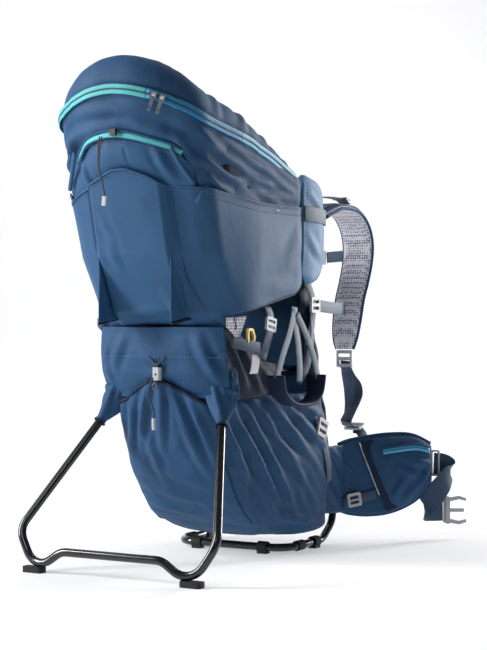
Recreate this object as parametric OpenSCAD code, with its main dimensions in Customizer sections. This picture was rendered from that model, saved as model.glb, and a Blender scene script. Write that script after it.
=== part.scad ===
// Child carrier backpack: an aluminium frame with a base loop and a fold-out stand, a padded cockpit
// for the child, storage pockets, a shoulder harness and a hip belt.
// X runs across the wearer's back, +Y is the way the wearer faces and +Z is up. The origin is on the
// floor, at the middle of the carrier's overall footprint.

/* [Frame] */
// Outer diameter of the frame tubes
tube_d = 13; // [11:1:15]
// Wall of the frame tubes
tube_wall = 1.5; // [1:0.25:2.5]
// Bend radius of the frame tubes at their centre line
tube_bend = 34; // [28:1:40]
// Distance between the two upright stays
stay_w = 210; // [190:2:230]
// Height of the tops of the stays
stay_h = 590; // [560:2:620]
// How far the stays lean back for each unit of height
lean = 0.268; // [0.24:0.002:0.29]
// Thickness of the rubber feet under the tubes
foot_t = 4; // [3:0.5:6]

/* [Stand] */
// Height of the stand's hinge
pivot_z = 282; // [270:2:290]
// Distance of the hinge behind the base loop
pivot_back = 171.5; // [165:0.5:180]
// Distance of the stand's feet behind the base loop
stand_reach = 347; // [320:1:380]
// Distance between the stand's feet
stand_w = 278; // [260:2:320]
// Rise of the stand's middle bar above its feet
stand_rise = 24; // [20:1:30]
// Diameter of the hinge pins
pin_d = 6; // [5:0.5:8]

/* [Cockpit] */
// Width of the cockpit's rear corners
cockpit_rear_w = 240; // [210:2:256]
// Width of the cockpit at its sides
cockpit_w = 262; // [250:2:290]
// Height of the rim at the front
rim_front_z = 592; // [580:1:600]
// Wall of the cockpit's fabric and foam
cockpit_wall = 6; // [3:1:9]
// Height of the padded collar at the rear
collar_h = 46; // [30:2:50]
// Width of the rear pocket's flat face
pocket_w = 136; // [110:2:160]

/* [Harness] */
// Width of the shoulder straps
strap_w = 58; // [50:2:66]
// Thickness of the shoulder straps
strap_t = 15; // [11:1:18]
// Width of the narrow webbing
web_w = 20; // [15:1:25]
// Width of the hip belt's webbing
hip_web_w = 38; // [30:1:45]
// Thickness of all webbing
web_t = 2; // [1.5:0.25:3]
// Thickness of the hip belt's wings
wing_t = 16; // [12:1:20]

/* [Hidden] */

$fn = 48;
gap = 0.4;                      // clearance between neighbouring pieces
run_fit = 0.05;                 // radial clearance of a pin that turns
tube_r = tube_d / 2;
floor_z = foot_t + tube_r;      // centre line of a tube that stands on its feet
stay_x = stay_w / 2;
kick_z = 445;                   // height where the stays turn upright
toe = [174, 42];                // y and z where a stay leaves the base loop
function stay_y(z) = toe[0] - lean * (min(z, kick_z) - toe[1]) + max(0, z - kick_z) * 0.07;

pivot = [88, -pivot_back, pivot_z];
knee = [177, -stand_reach + 11, 62];   // where a leg of the stand turns in to its foot
corner_drop = 8.8;              // the foot's bend rounds off this much above its corner
foot = [stand_w / 2, -stand_reach, floor_z - corner_drop];
bar = [stand_w / 2 - 49, -stand_reach, floor_z + stand_rise];

// the cockpit's corners in plan: the rear leans back with height and bulges at the middle
rear_line = [[330, -188], [370, -196], [412, -217], [480, -254], [590, -288], [690, -312], [760, -322]];
bulge_line = [[330, 4], [412, 6], [590, 12], [690, 34], [760, 36]];
rim_line = [[-330, 702], [-285, 691], [-230, 672], [-150, 660], [-50, 630], [20, rim_front_z + 4], [60, rim_front_z]];
low_line = [[-300, 376], [-215, 388], [-25, 430], [20, 446], [60, 452]];
front_z = 450;
bulge_x = 48;                   // half the width of the rear's bulge
round_r = 22;
function corners(z, e) =
    let (x1 = cockpit_rear_w / 2 + lookup(z, [[370, -10], [480, -2], [590, 4], [690, 6]]) - e,
         x2 = cockpit_w / 2 - e, yr = lookup(z, rear_line) + e, yb = yr - lookup(z, bulge_line),
         yf = stay_y(front_z) - tube_r - 8 - e)
    [[-x1, yr], [-bulge_x, yb], [bulge_x, yb], [x1, yr], [x2, -165], [x2, 8], [stay_x - 12, yf],
     [-stay_x + 12, yf], [-x2, 8], [-x2, -165]];
function rim_z(x, y) = lookup(y, rim_line) + (y < -270 ? 34 * (1 - pow(x / 122, 2)) : 0);

footprint_rear = -356;          // the rear of the collar
footprint_front = 339.6;          // the front of the hip buckle
y_shift = -(footprint_rear + footprint_front) / 2;
module place() { translate([0, y_shift, 0]) children(); }
module both() { children(); mirror([1, 0, 0]) children(); }

// colours
navy = [0.17, 0.28, 0.40];
navy_dark = [0.10, 0.17, 0.27];
teal = [0.30, 0.70, 0.74];
tube_black = [0.08, 0.08, 0.09];
plastic_grey = [0.62, 0.63, 0.65];
mesh_grey = [0.80, 0.80, 0.84];
yellow = [0.90, 0.78, 0.25];
steel = [0.75, 0.76, 0.78];
rubber_black = [0.05, 0.05, 0.05];

// ---------- vectors and curves
function unit(v) = v / norm(v);
function mean(l, i = 0, s = [0, 0, 0]) = i == len(l) ? s / len(l) : mean(l, i + 1, s + l[i]);
function mix(a, b, t) = a + (b - a) * t;
function bend3(a, b, c, t) = mix(mix(a, b, t), mix(b, c, t), t);
function catmull(a, b, c, d, t) =
    ((2 * b) + (c - a) * t + (2 * a - 5 * b + 4 * c - d) * t * t + (3 * b - a - 3 * c + d) * t * t * t) / 2;
function spline(p, k) = let (n = len(p)) concat([for (i = [0:n - 2]) for (j = [0:k - 1])
    catmull(p[max(i - 1, 0)], p[i], p[i + 1], p[min(i + 2, n - 1)], j / k)], [p[n - 1]]);
// a polygon with its corners rounded, n + 1 points to a corner
function round_poly(p, r, n = 2) = let (m = len(p)) [for (i = [0:m - 1]) for (t = [0:n])
    let (a = p[(i + m - 1) % m], b = p[i], c = p[(i + 1) % m])
    bend3(b + unit(a - b) * min(r, norm(a - b) / 2.1), b, b + unit(c - b) * min(r, norm(c - b) / 2.1), t / n)];
function rect(w, h, r) = round_poly([[-w, -h] / 2, [w, -h] / 2, [w, h] / 2, [-w, h] / 2], r, 1);
function disc(r, n) = [for (i = [0:n - 1]) r * [cos(360 * i / n), sin(360 * i / n)]];
function at_z(p, z) = [for (q = p) [q[0], q[1], z]];

// ---------- closed skins, turned the right way out by their own volume
function volume(p, f) = [for (t = f) p[t[0]] * cross(p[t[1]], p[t[2]])] * [for (t = f) 1];
module skin(p, f) { polyhedron(p, volume(p, f) > 0 ? [for (t = f) [t[0], t[2], t[1]]] : f, convexity = 8); }
module loft(rings) {
    n = len(rings[0]);
    m = len(rings);
    skin(concat([for (r = rings) each r], [mean(rings[0]), mean(rings[m - 1])]), concat(
        [for (i = [0:m - 2]) for (j = [0:n - 1]) let (a = i * n + j, b = i * n + (j + 1) % n)
            each [[a, b, b + n], [a, b + n, a + n]]],
        [for (j = [0:n - 1]) [m * n, (j + 1) % n, j]],
        [for (j = [0:n - 1]) [m * n + 1, (m - 1) * n + j, (m - 1) * n + (j + 1) % n]]));
}
// a wall between an outer and an inner grid, closed round when wrap is set
module wall(a, b, wrap = false) {
    m = len(a);
    n = len(a[0]);
    k = m * n;
    last = wrap ? n - 1 : n - 2;
    skin(concat([for (r = a) each r], [for (r = b) each r]), concat(
        [for (i = [0:m - 2]) for (j = [0:last]) let (p = i * n + j, q = i * n + (j + 1) % n)
            each [[p, q, q + n], [p, q + n, p + n], [k + p, k + q + n, k + q], [k + p, k + p + n, k + q + n]]],
        [for (j = [0:last]) let (q = (j + 1) % n) each [[j, k + j, k + q], [j, k + q, q]]],
        [for (j = [0:last]) let (p = (m - 1) * n + j, q = (m - 1) * n + (j + 1) % n)
            each [[p, q, k + q], [p, k + q, k + p]]],
        wrap ? [] : [for (i = [0:m - 2]) let (p = i * n, q = p + n) each [[p, q, k + q], [p, k + q, k + p]]],
        wrap ? [] : [for (i = [0:m - 2]) let (p = i * n + n - 1, q = p + n)
            each [[p, k + p, k + q], [p, k + q, q]]]));
}
// a profile swept along points; up is the direction of the profile's second axis
module sweep(path, up, profile) {
    m = len(path);
    loft([for (i = [0:m - 1]) let (t = unit(path[min(i + 1, m - 1)] - path[max(i - 1, 0)]),
          u = is_num(up[0]) ? up : up[i], s = unit(cross(t, u)), v = cross(s, t))
          [for (q = profile) path[i] + q[0] * s + q[1] * v]]);
}
module band(path, up, w, t) { sweep(path, up, rect(w, t, t / 3)); }

// ---------- true round tubes
function frame_of(z, x) = let (k = unit(z), i = unit(x - (x * k) * k), j = cross(k, i)) [i, j, k];
module stand_on(p, f) {
    multmatrix([[f[0][0], f[1][0], f[2][0], p[0]], [f[0][1], f[1][1], f[2][1], p[1]],
                [f[0][2], f[1][2], f[2][2], p[2]]]) children();
}
module tube_face(r, w) { difference() { circle(r); if (w > 0) circle(r - w); } }
// each piece is placed from the end of the one before it; a straight runs a little way into the
// walls of its bends, which are thicker by seam, so that they join without faces that just touch
seam = 0.05;
module tube_run(d, l, turn, i, x, r, bend, w) {
    a = i > 0 ? 0.4 : 0;
    b = i < len(turn) ? 0.4 : 0;
    translate([0, 0, -a]) linear_extrude(l[i] + a + b) tube_face(r, w);
    if (i < len(turn)) {
        n = unit(d[i + 1] - cos(turn[i]) * d[i]);
        translate([0, 0, l[i]]) rotate([0, 0, atan2(n * cross(d[i], x), n * x)]) {
            multmatrix([[-1, 0, 0, bend], [0, 0, 1, 0], [0, 1, 0, 0]])
                rotate_extrude(angle = turn[i]) translate([bend, 0]) tube_face(r + seam, w > 0 ? w + 2 * seam : 0);
            translate([bend, 0, 0]) rotate([0, turn[i], 0]) translate([-bend, 0, 0])
                tube_run(d, l, turn, i + 1, cos(turn[i]) * n - sin(turn[i]) * d[i], r, bend, w);
        }
    }
}
module bent_tube(p, r, bend, w) {
    m = len(p);
    d = [for (i = [0:m - 2]) unit(p[i + 1] - p[i])];
    turn = [for (i = [1:m - 2]) acos(d[i - 1] * d[i])];
    cut = concat([0], [for (a = turn) bend * tan(a / 2)], [0]);
    f = frame_of(d[0], abs(d[0][0]) < 0.9 ? [1, 0, 0] : [0, 0, 1]);
    stand_on(p[0], f) tube_run(d, [for (i = [0:m - 2]) norm(p[i + 1] - p[i]) - cut[i] - cut[i + 1]], turn, 0, f[0], r, bend, w);
}
module rod(a, b, r) { stand_on(a, frame_of(b - a, abs(unit(b - a)[0]) < 0.9 ? [1, 0, 0] : [0, 0, 1])) cylinder(r = r, h = norm(b - a)); }
module ring_of(a, b, r, hole) {
    stand_on(a, frame_of(b - a, abs(unit(b - a)[0]) < 0.9 ? [1, 0, 0] : [0, 0, 1]))
        difference() { cylinder(r = r, h = norm(b - a)); translate([0, 0, -1]) cylinder(r = hole, h = norm(b - a) + 2); }
}

// ---------- frame
module main_frame() color(tube_black) place() {
    side = [[stay_x, stay_y(stay_h), stay_h], [stay_x, stay_y(kick_z), kick_z], [stay_x, toe[0], toe[1]],
            [stay_x, 128, floor_z], [stay_x, 0, floor_z]];
    bent_tube(concat(side, [for (i = [4:-1:0]) [-side[i][0], side[i][1], side[i][2]]]), tube_r, tube_bend, tube_wall);
}
bar_z = [470, 540];
module top_crossbar() color(tube_black) place() for (z = bar_z)
    rod([-stay_x + 3, stay_y(z), z], [stay_x - 3, stay_y(z), z], tube_r - 1);
seat_x = 62;                    // half the width of the seat's tube
seat_z = 300;
seat_back = -pivot_back + 6;
module seat_frame() color(tube_black) place() {
    y = stay_y(seat_z);
    bent_tube([[-seat_x, y - tube_r, seat_z], [-seat_x, seat_back, seat_z], [seat_x, seat_back, seat_z],
               [seat_x, y - tube_r, seat_z]], tube_r, tube_bend, tube_wall);
    rod([-stay_x + 3, y, seat_z], [stay_x - 3, y, seat_z], tube_r);
}
lug_r = 11;
lug = [pivot[0] - 6, pivot[0] + 13];   // the two faces of a leg's lug
module hinge_brackets() color(steel) place() both() difference() {
    translate([seat_x - 3, pivot[1] - lug_r, pivot[2] - lug_r])
        cube([lug[0] - gap - seat_x + 3, 40, seat_z + tube_r + 2 - pivot[2] + lug_r]);
    translate([0, pivot[1], pivot[2]]) rotate([0, 90, 0]) cylinder(d = pin_d, h = lug[0] + 10);
    translate([seat_x, 0, seat_z]) rotate([90, 0, 0]) cylinder(r = tube_r, h = 300, center = true);
}
module hinge_pins() color(steel) place() both() {
    translate([seat_x - 3, pivot[1], pivot[2]]) rotate([0, 90, 0]) cylinder(d = pin_d, h = lug[1] + gap - seat_x + 3);
    translate([lug[1] + gap, pivot[1], pivot[2]]) rotate([0, 90, 0]) cylinder(r = 6, h = 3);
}
clip_fit = 0.12;                // radial clearance of a clip or wrap round its tube
clip_at = [63, 112];          // x of the rear clips and y of the side clips
module foot_clip(l) difference() {
    union() {
        rotate([0, 90, 0]) cylinder(r = tube_r + 3, h = l, center = true);
        translate([-l / 2, -7, -floor_z]) cube([l, 14, floor_z]);
    }
    rotate([0, 90, 0]) cylinder(r = tube_r + clip_fit, h = l + 2, center = true);
}
module base_feet() color(rubber_black) place() both() {
    translate([clip_at[0], 0, floor_z]) foot_clip(17);
    translate([stay_x, clip_at[1] - 12, floor_z]) rotate([0, 0, 90]) foot_clip(18);
}
module base_straps() color(rubber_black) place() both() difference() {
    translate([stay_x, 46, floor_z]) rotate([90, 0, 0]) cylinder(r = tube_r + 2, h = 22, center = true);
    translate([stay_x, 46, floor_z]) rotate([90, 0, 0]) cylinder(r = tube_r + clip_fit, h = 30, center = true);
}
module kickstand() color(tube_black) place() difference() {
    side = [pivot + 7 * unit(knee - pivot), knee, foot, bar];
    union() {
        bent_tube(concat(side, [for (i = [3:-1:0]) [-side[i][0], side[i][1], side[i][2]]]), tube_r, tube_bend, 0);
        both() translate([lug[0], pivot[1], pivot[2]]) rotate([0, 90, 0]) cylinder(r = lug_r, h = lug[1] - lug[0]);
    }
    both() translate([lug[0] - 4, pivot[1], pivot[2]]) rotate([0, 90, 0])
        cylinder(d = pin_d + 2 * run_fit, h = lug[1] - lug[0] + 8);
}
module kickstand_feet() color(rubber_black) place() both()
    translate([stand_w / 2 + 3, -stand_reach + 1, 0]) linear_extrude(9) polygon(round_poly([[-19, -9], [17, -9], [17, 9], [-19, 9]], 6, 3));
module kickstand_sleeves() color(navy_dark) place() both() {
    d = unit(knee - pivot);
    ring_of(pivot + 22 * d, pivot + 74 * d, tube_r + 2, tube_r);
}

// ---------- bags and cockpit
bag_line = [[34, -38], [47, -60], [75, -101], [105, -126], [155, -158], [245, -195], [262, -198]];
bag_w = [[34, 80], [155, 86], [240, 84], [262, 76]];   // half widths at the rear
function bag_ring(z, e) = let (y = lookup(z, bag_line) + e, w = lookup(z, bag_w) - e, f = stay_y(z) - tube_r - 6 - e)
    round_poly([[-w, y], [w, y], [w + 4, max(y + 20, -110)], [126 - e, 36], [126 - e, min(f, 118) - 12], [stay_x - 22, min(f, 124)],
                [22 - stay_x, min(f, 124)], [e - 126, min(f, 118) - 12], [e - 126, 36], [-w - 4, max(y + 20, -110)]], 18, 2);
module lower_bag() color(navy) place()
    loft([for (q = [[34, 10], [40, 2], [60, 0], [75, 0], [105, 0], [155, 0], [200, 0], [245, 0], [262, 6]]) at_z(bag_ring(q[0], q[1]), q[0])]);
function flap_y(x, z) = lookup(z, [[272, -200], [300, -214], [330, -217], [366, -212]]) + pow(x / 104, 4) * 12;
// its lower corners stay clear of the stand's legs
function flap_z(x, z) = z < 280 && abs(x) > 80 ? 290 : z;
module rear_flap() color(navy) place() {
    xs = [-104, -88, -45, 0, 45, 88, 104];
    zs = [272, 300, 330, 366];
    wall([for (z = zs) [for (x = xs) [x, flap_y(x, flap_z(x, z)), flap_z(x, z)]]],
         [for (z = zs) [for (x = xs) [x * 0.97, flap_y(x, flap_z(x, z)) + 8, flap_z(x, z)]]]);
}
levels = [0, 0.12, 0.35, 0.6, 0.85, 1];
function cockpit_grid(e) = [for (t = levels) [for (i = [0:29])
    let (q = round_poly(corners(600, e), round_r, 2)[i], rz = rim_z(q[0], q[1]), z = mix(lookup(q[1], low_line), rz, t),
         p = round_poly(corners(z, e), round_r, 2)[i]) [p[0], p[1], z]]];
module cockpit() color(navy) place() wall(cockpit_grid(0), cockpit_grid(cockpit_wall), true);
// the rim from one front corner round the rear to the other
function rim_path(e) = let (r = cockpit_grid(e)[5]) [for (i = [17:-1:0]) r[i], for (i = [29:-1:24]) r[i]];
collar_lift = 4;                // the roll clears the sloping rim by this
module collar() color(navy) place() {
    path = rim_path(14);
    rings = [for (i = [0:len(path) - 1]) let (p = path[i], t = path[min(i + 1, len(path) - 1)] - path[max(i - 1, 0)],
        s = unit(cross(t, [0, 0, 1])), h = lookup(p[1], [[-290, collar_h], [-200, collar_h * 0.8], [-100, 22], [10, 12]]))
        [for (q = [[-10, 0], [10, 0], [14, 0.15], [12, 0.5], [6, 0.85], [-2, 1], [-10, 0.9], [-14, 0.5]])
            p + s * q[0] + [0, 0, collar_lift + h * q[1]]]];
    loft(rings);
}
function cheek(z) = let (f = lookup(z, [[340, 62], [400, 66], [470, 92], [510, 108], [570, 104], [596, 84]]))
        [[cockpit_w / 2 - 17, 14], [cockpit_w / 2 + 1, 14], [cockpit_w / 2 - 4, f], [stay_x + tube_r + 2, f]];
cheek_z = 452;                  // where the lower cheek gives way to the upper one
module side_cheeks() color(navy) place() both() {
    loft([for (z = [340, 400, cheek_z - 8]) at_z(round_poly([for (p = cheek(z)) [p[0], max(p[1], 22)]], 5, 2), z)]);
    loft([for (z = [cheek_z + gap, 470, 510, 545, 570, 596]) at_z(round_poly(
        [for (p = cheek(z)) [p[0], max(p[1], 72)]], 5, 2), z)]);
}
// the pockets lie on the cockpit's rear wall
function rear_at(x, z) = let (y = lookup(z, rear_line), b = lookup(z, bulge_line), h = cockpit_rear_w / 2)
    y - b * (abs(x) < bulge_x ? 1 : max(0, (h - abs(x)) / (h - bulge_x)));
pocket_gap = gap + 2.6;         // the wall bulges this far past its own corners
module rear_pocket() color(navy) place() {
    h = pocket_w / 2;
    xs = [-h - 26, -h - 14, -h, -h / 2, 0, h / 2, h, h + 14, h + 26];
    k = [0, 0.55, 0.9, 1, 1, 1, 0.9, 0.55, 0];
    zs = [378, 386, 412, 480, 540, 590, 606];
    d = [16, 30, 40, 36, 26, 14, 6];
    wall([for (i = [0:6]) [for (j = [0:8]) [xs[j], rear_at(xs[j], zs[i]) - pocket_gap - 2.5 - d[i] * k[j], zs[i]]]],
         [for (i = [0:6]) [for (j = [0:8]) [xs[j] * 0.995, rear_at(xs[j], zs[i]) - pocket_gap, zs[i]]]]);
}
arch = [[-82, 628], [-60, 645], [-30, 655], [0, 658], [30, 655], [60, 645], [82, 628]];
module upper_pocket() color(navy) place() wall(
    [for (t = [0, 0.3, 0.7, 1]) [for (q = arch) let (z = mix(612, q[1] - 5, t)) [q[0], rear_at(q[0], z) - pocket_gap - 2 - 8 * sin(180 * t), z]]],
    [for (t = [0, 0.3, 0.7, 1]) [for (q = arch) let (z = mix(612, q[1] - 5, t)) [q[0], rear_at(q[0], z) - pocket_gap, z]]]);
module pocket_zip() color(teal) place()
    band([for (q = spline([for (a = arch) [a[0], 0, a[1]]], 2)) [q[0], rear_at(q[0], q[2]) - pocket_gap - 1.4, q[2] + 1.5]], [0, -1, 0], 9, 2);
module rim_zip() color(teal) place() {
    n = len(rim_path(0)) - 2;       // it stops short of the column at both ends
    r = [for (i = [1:n]) rim_path(-1.5)[i]];
    base = [for (i = [1:n]) rim_path(0)[i]];
    band([for (p = r) p - [0, 0, 8]], [for (i = [0:len(r) - 1]) unit(r[i] - base[i] + [0, 0, 0.001])], 10, 2);
}
// the straight stretch of the rim zip that carries the two sliders
zip_a = rim_path(-2.5)[8] - [0, 0, 8];
zip_b = rim_path(-2.5)[9] - [0, 0, 8];
zip_dir = unit(zip_b - zip_a);
zip_out = unit(cross(zip_dir, [0, 0, 1]) * (cross(zip_dir, [0, 0, 1])[1] < 0 ? 1 : -1));
zip_mid = mix(zip_a, zip_b, 0.72) + zip_out * 0.4;
ear_out = 6.5;                  // the pull's pin stands off the tape by this
module on_zip(s) { stand_on(zip_mid + s * zip_dir, [zip_dir, zip_out, cross(zip_dir, zip_out)]) children(); }
up_sign = cross(zip_dir, zip_out)[2] > 0 ? 1 : -1;
module slider_body() {
    translate([-4.5, 0, -5.5]) cube([9, 3, 11]);
    for (x = [-4.5, 3]) translate([x, 2.5, -2]) cube([1.5, ear_out - 0.5, 4]);
    translate([-4.5, ear_out, 0]) rotate([0, 90, 0]) cylinder(r = 0.9, h = 9);
}
module pull_tab() difference() {
    union() {
        translate([-2.5, ear_out, 0]) rotate([0, 90, 0]) cylinder(r = 2.2, h = 5);
        translate([-2.5, ear_out - 0.8, up_sign > 0 ? -25 : 1]) cube([5, 1.6, 24]);
    }
    translate([-5, ear_out, 0]) rotate([0, 90, 0]) cylinder(r = 0.95, h = 10);
    translate([0, 0, up_sign * -19]) rotate([-90, 0, 0]) cylinder(r = 1.4, h = 20);
}
slider_gap = 6.5;
module inner_zip_slider() color(steel) place() on_zip(-slider_gap) slider_body();
module inner_zip_pull() color(steel) place() on_zip(-slider_gap) pull_tab();
module outer_zip_slider() color(steel) place() on_zip(slider_gap) slider_body();
module outer_zip_pull() color(steel) place() on_zip(slider_gap) pull_tab();
pocket_slide = [0, rear_at(0, 660) - pocket_gap - 3.1, 659.5];
module pocket_slider() color(rubber_black) place() difference() {
    translate(pocket_slide + [-5, -4, -5]) cube([10, 4, 10]);
    translate(pocket_slide + [0, -2, -2]) rotate([0, 90, 0]) cylinder(r = 1.25, h = 30, center = true);
}
cord_d = 2.2;
pull_pts = [[-1, -370, 650], [-3, -372, 630], [-7, -367, 605], [-9, -355, 585], [-10, -347, 566]];
module pull_cord() color(tube_black) place() sweep(spline(pull_pts, 4), [1, 0, 0], disc(cord_d / 2, 8));
module pull_tip() color(plastic_grey) place() stand_on([-10.5, -346.5, 565], frame_of([-3, 2, -16], [1, 0, 0]))
    linear_extrude(14) polygon(rect(8, 4, 1.2));
lock_at = [3, -226, 300];
module cord_lock_body() color(plastic_grey) place() translate(lock_at) difference() {
    linear_extrude(20, center = true) difference() { polygon(rect(14, 9, 2.5)); circle(d = 6 + 2 * run_fit); }
    translate([0, 0, -1]) rotate([90, 0, 0]) cylinder(r = 2, h = 30, center = true);
}
module cord_lock_button() color(navy_dark) place() translate(lock_at) difference() {
    union() { translate([0, 0, -6]) cylinder(d = 6, h = 20); translate([0, 0, 13.5]) cylinder(d = 9, h = 3); }
    translate([0, 0, 2.5]) rotate([90, 0, 0]) cylinder(r = 1.8, h = 30, center = true);
}
draw_pts = [[2, -236, 294], [-2, -239, 282], [-6, -238, 268], [-1, -236, 254], [3, -235, 240], [2, -234, 230]];
module drawcord() color(navy_dark) place() sweep(spline(draw_pts, 4), [1, 0, 0], disc(1.4, 8));

// ---------- inside the cockpit
module seat_pad() color(navy_dark) place()
    loft([for (q = [[309, 5], [312, 0], [326, 0], [330, 6]]) at_z(round_poly([[-74 + q[1], -140 + q[1]], [74 - q[1], -140 + q[1]],
        [62 - q[1], 40 - q[1]], [-62 + q[1], 40 - q[1]]], 22, 3), q[0])]);
function back_y(z) = lookup(z, [[340, -172], [412, -194], [590, -262], [650, -280]]);
module child_backrest() color(navy_dark) place() {
    xs = [-70, -56, 0, 56, 70];
    wall([for (z = [340, 352, 470, 560, 640, 650]) [for (x = xs) [x, back_y(z) - 0.5, z]]],
         [for (z = [340, 352, 470, 560, 640, 650]) [for (x = xs) [x * 0.98, back_y(z) + (z < 345 || z > 645 || abs(x) > 60 ? 5 : 14), z]]]);
}
chin_y = 26;
module chin_pad() color(navy) place() sweep([[-78, chin_y, 560], [-40, chin_y - 2, 556], [0, chin_y - 3, 555], [40, chin_y - 2, 556], [78, chin_y, 560]],
    [0, 1, 0], rect(74, 16, 7));
module head_wings() color(navy) place() both()
    sweep([[112, -232, 612], [110, -190, 604], [109, -140, 590], [109, -100, 576]], [1, 0, 0], rect(44, 13, 6));
module harness_straps() color(navy_dark) place() both()
    band([[38, -244, 592], [38, -228, 560], [34, -204, 500], [24, -168, 430], [12, -140, 392]], [0, 1, 0.35], 22, web_t + 1);
buckle_at = [0, -128, 372];
module harness_buckle() color(rubber_black) place() translate(buckle_at) difference() {
    rotate([90, 0, 0]) cylinder(r = 17, h = 12, center = true);
    translate([0, 2, 0]) rotate([-90, 0, 0]) cylinder(r = 8.2, h = 10);
}
module harness_button() color([0.75, 0.12, 0.10]) place() translate(buckle_at + [0, 5.4, 0]) rotate([-90, 0, 0]) cylinder(r = 8.1, h = 3.4);
module stirrup() {
    band([[137, -30, 404], [139.5, -32, 380], [146, -34, 350], [150, -36, 310], [150, -38, 278]], [1, 0, 0], web_w, web_t);
    sweep([[150, -112, 290], [150, -100, 262], [150, -70, 250], [150, -38, 249], [150, -6, 250], [150, 16, 262], [150, 24, 290]],
        [0, 0.001, 1], rect(30, 6, 2));
    band([[150, -112, 291], [149, -90, 330], [146, -60, 360], [140, -36, 392]], [1, 0, 0], web_w - 4, web_t);
    band([[150, 24, 291], [149, 10, 330], [146, -8, 360], [140, -26, 392]], [1, 0, 0], web_w - 4, web_t);
}
module right_stirrup() color(navy) place() stirrup();
module left_stirrup() color(navy) place() mirror([1, 0, 0]) stirrup();
module frame_buckle(w, h, t) difference() {
    linear_extrude(t, center = true) difference() {
        polygon(round_poly([[-w, -h] / 2, [w, -h] / 2, [w, h] / 2, [-w, h] / 2], 3, 3));
        for (s = [-1, 1]) translate([0, s * h * 0.2]) square([w - 8, h * 0.2], center = true);
    }
}
module side_buckles() color(plastic_grey) place() both() {
    translate([cockpit_w / 2 + 4, 46, 408]) rotate([0, 90, 0]) rotate([0, 0, 90]) frame_buckle(30, 26, 4);
    translate([134, -102, 376]) rotate([0, 90, 0]) rotate([0, 0, 80]) frame_buckle(30, 22, 4);
    translate([134, 74, 204]) rotate([0, 90, 0]) rotate([0, 0, 70]) frame_buckle(32, 30, 4);
}
module side_rings() color(yellow) place() both() {
    translate([126, -150, 356]) rotate([0, 90, 0]) linear_extrude(4, center = true) difference() {
        polygon(round_poly([[-14, -12], [14, -12], [14, 4], [0, 12], [-14, 4]], 3, 2));
        polygon(round_poly([[-10, -8], [10, -8], [10, 2], [0, 7], [-10, 2]], 2, 2));
    }
}

// ---------- back, harness and hip belt
module back_plate() color(navy) place() {
    zs = [96, 160, 230, 320, 400, kick_z, 520];
    xs = [-86, -60, 0, 60, 86];
    wall([for (z = zs) [for (x = xs) [x, stay_y(z) + tube_r + 0.5, z]]], [for (z = zs) [for (x = xs) [x, stay_y(z) + tube_r + 6, z]]]);
}
module back_pads() color(mesh_grey) place() both() {
    zs = [232, 244, 300, 380, kick_z - 12, kick_z - 1];
    wall([for (z = zs) [for (x = [24, 32, 66, 78]) [x, stay_y(z) + tube_r + 6 + gap, z]]],
         [for (i = [0:5]) [for (x = [24, 32, 66, 78]) [x, stay_y(zs[i]) + tube_r + (i == 0 || i == 5 || x == 24 || x == 78 ? 12 : 23), zs[i]]]]);
}
module lumbar_pad() color(mesh_grey) place() {
    zs = [92, 104, 150, 196, 208];
    xs = [-84, -72, -24, 24, 72, 84];
    wall([for (z = zs) [for (x = xs) [x, stay_y(z) + tube_r + 6 + gap, z]]],
         [for (i = [0:4]) [for (x = xs) [x, stay_y(zs[i]) + tube_r + (i == 0 || i == 4 || abs(x) == 84 ? 14 : 30), zs[i]]]]);
}
yoke_y = 113;
yoke_x = stay_x + tube_r + 1;   // half its length, inside the cheeks
module yoke() color(navy) place()
    loft([for (q = [[-yoke_x, 6], [6 - yoke_x, 0], [yoke_x - 6, 0], [yoke_x, 6]]) [for (p = round_poly([[86 + q[1], 532 + q[1]], [yoke_y - q[1], 532 + q[1]],
        [yoke_y - q[1], 586 - q[1]], [86 + q[1], 586 - q[1]]], 8, 2)) [q[0], p[0], p[1]]]]);
strap_pts = [[100, 117, 559], [100, 140, 568], [100, 170, 575], [100, 226, 572], [100, 262, 552], [100, 279, 522], [100, 277, 487],
             [100, 262, 450], [100, 246, 419], [100, 234, 380], [100, 228, 356], [100, 226, 333]];
module shoulder_straps() color(mesh_grey) place() both()
    sweep(spline(strap_pts, 2), [for (p = spline(strap_pts, 2)) let (k = lookup(p[2], [[320, 0], [560, 1]])) p[1] < 230 && p[2] > 560 ? [0, 0, 1] :
        p[2] > 520 ? unit([0, 0.8, 0.6]) : [0, 1, 0]], rect(strap_w, strap_t, 5));
lift_a = [100, 108, 588];
module load_lifters() color(navy) place() both()
    band([[100, 96, 588.5], [100, 112, 590.5], [100, 160, 594], [100, 205, 594], [100, 228, 588]], [0, 0, 1], web_w, web_t);
module side_straps() color(navy) place() both()
    band([[cockpit_w / 2 + 1, 40, 408], [cockpit_w / 2 - 1, 80, 406], [124, 130, 404], [112, 190, 404], [100, 226, 402]], [1, 0.2, 0], web_w, web_t);
lock_low = [112, 236, 190];
module strap_webbing() color(navy) place() both()
    band(spline([[100, 230, 300], [102, 242, 286], [104, 262, 270], [105, 266, 252], [106, 250, 235], [108, 227, 219],
        [110, 209, 206], [112, 216, 200], [112, 228, 197]], 2), [0, 0.7, 0.7] , web_w, web_t);
module strap_locks() color(plastic_grey) place() both() {
    translate([100, 225.5, 316]) rotate([90, 0, 0]) frame_buckle(30, 30, 5);
    translate([112, 240, 197]) rotate([18, 0, 0]) frame_buckle(30, 26, 4);
}
sternum_y = 290;
module sternum_strap() color(navy) place() {
    sweep([[-84.5, sternum_y, 500], [-50, sternum_y + 10, 499], [-25, sternum_y + 14, 498]], [0, 1, 0], rect(web_w, web_t, 0.6));
    sweep([[25, sternum_y + 14, 498], [50, sternum_y + 10, 499], [84.5, sternum_y, 500]], [0, 1, 0], rect(web_w, web_t, 0.6));
}
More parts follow.
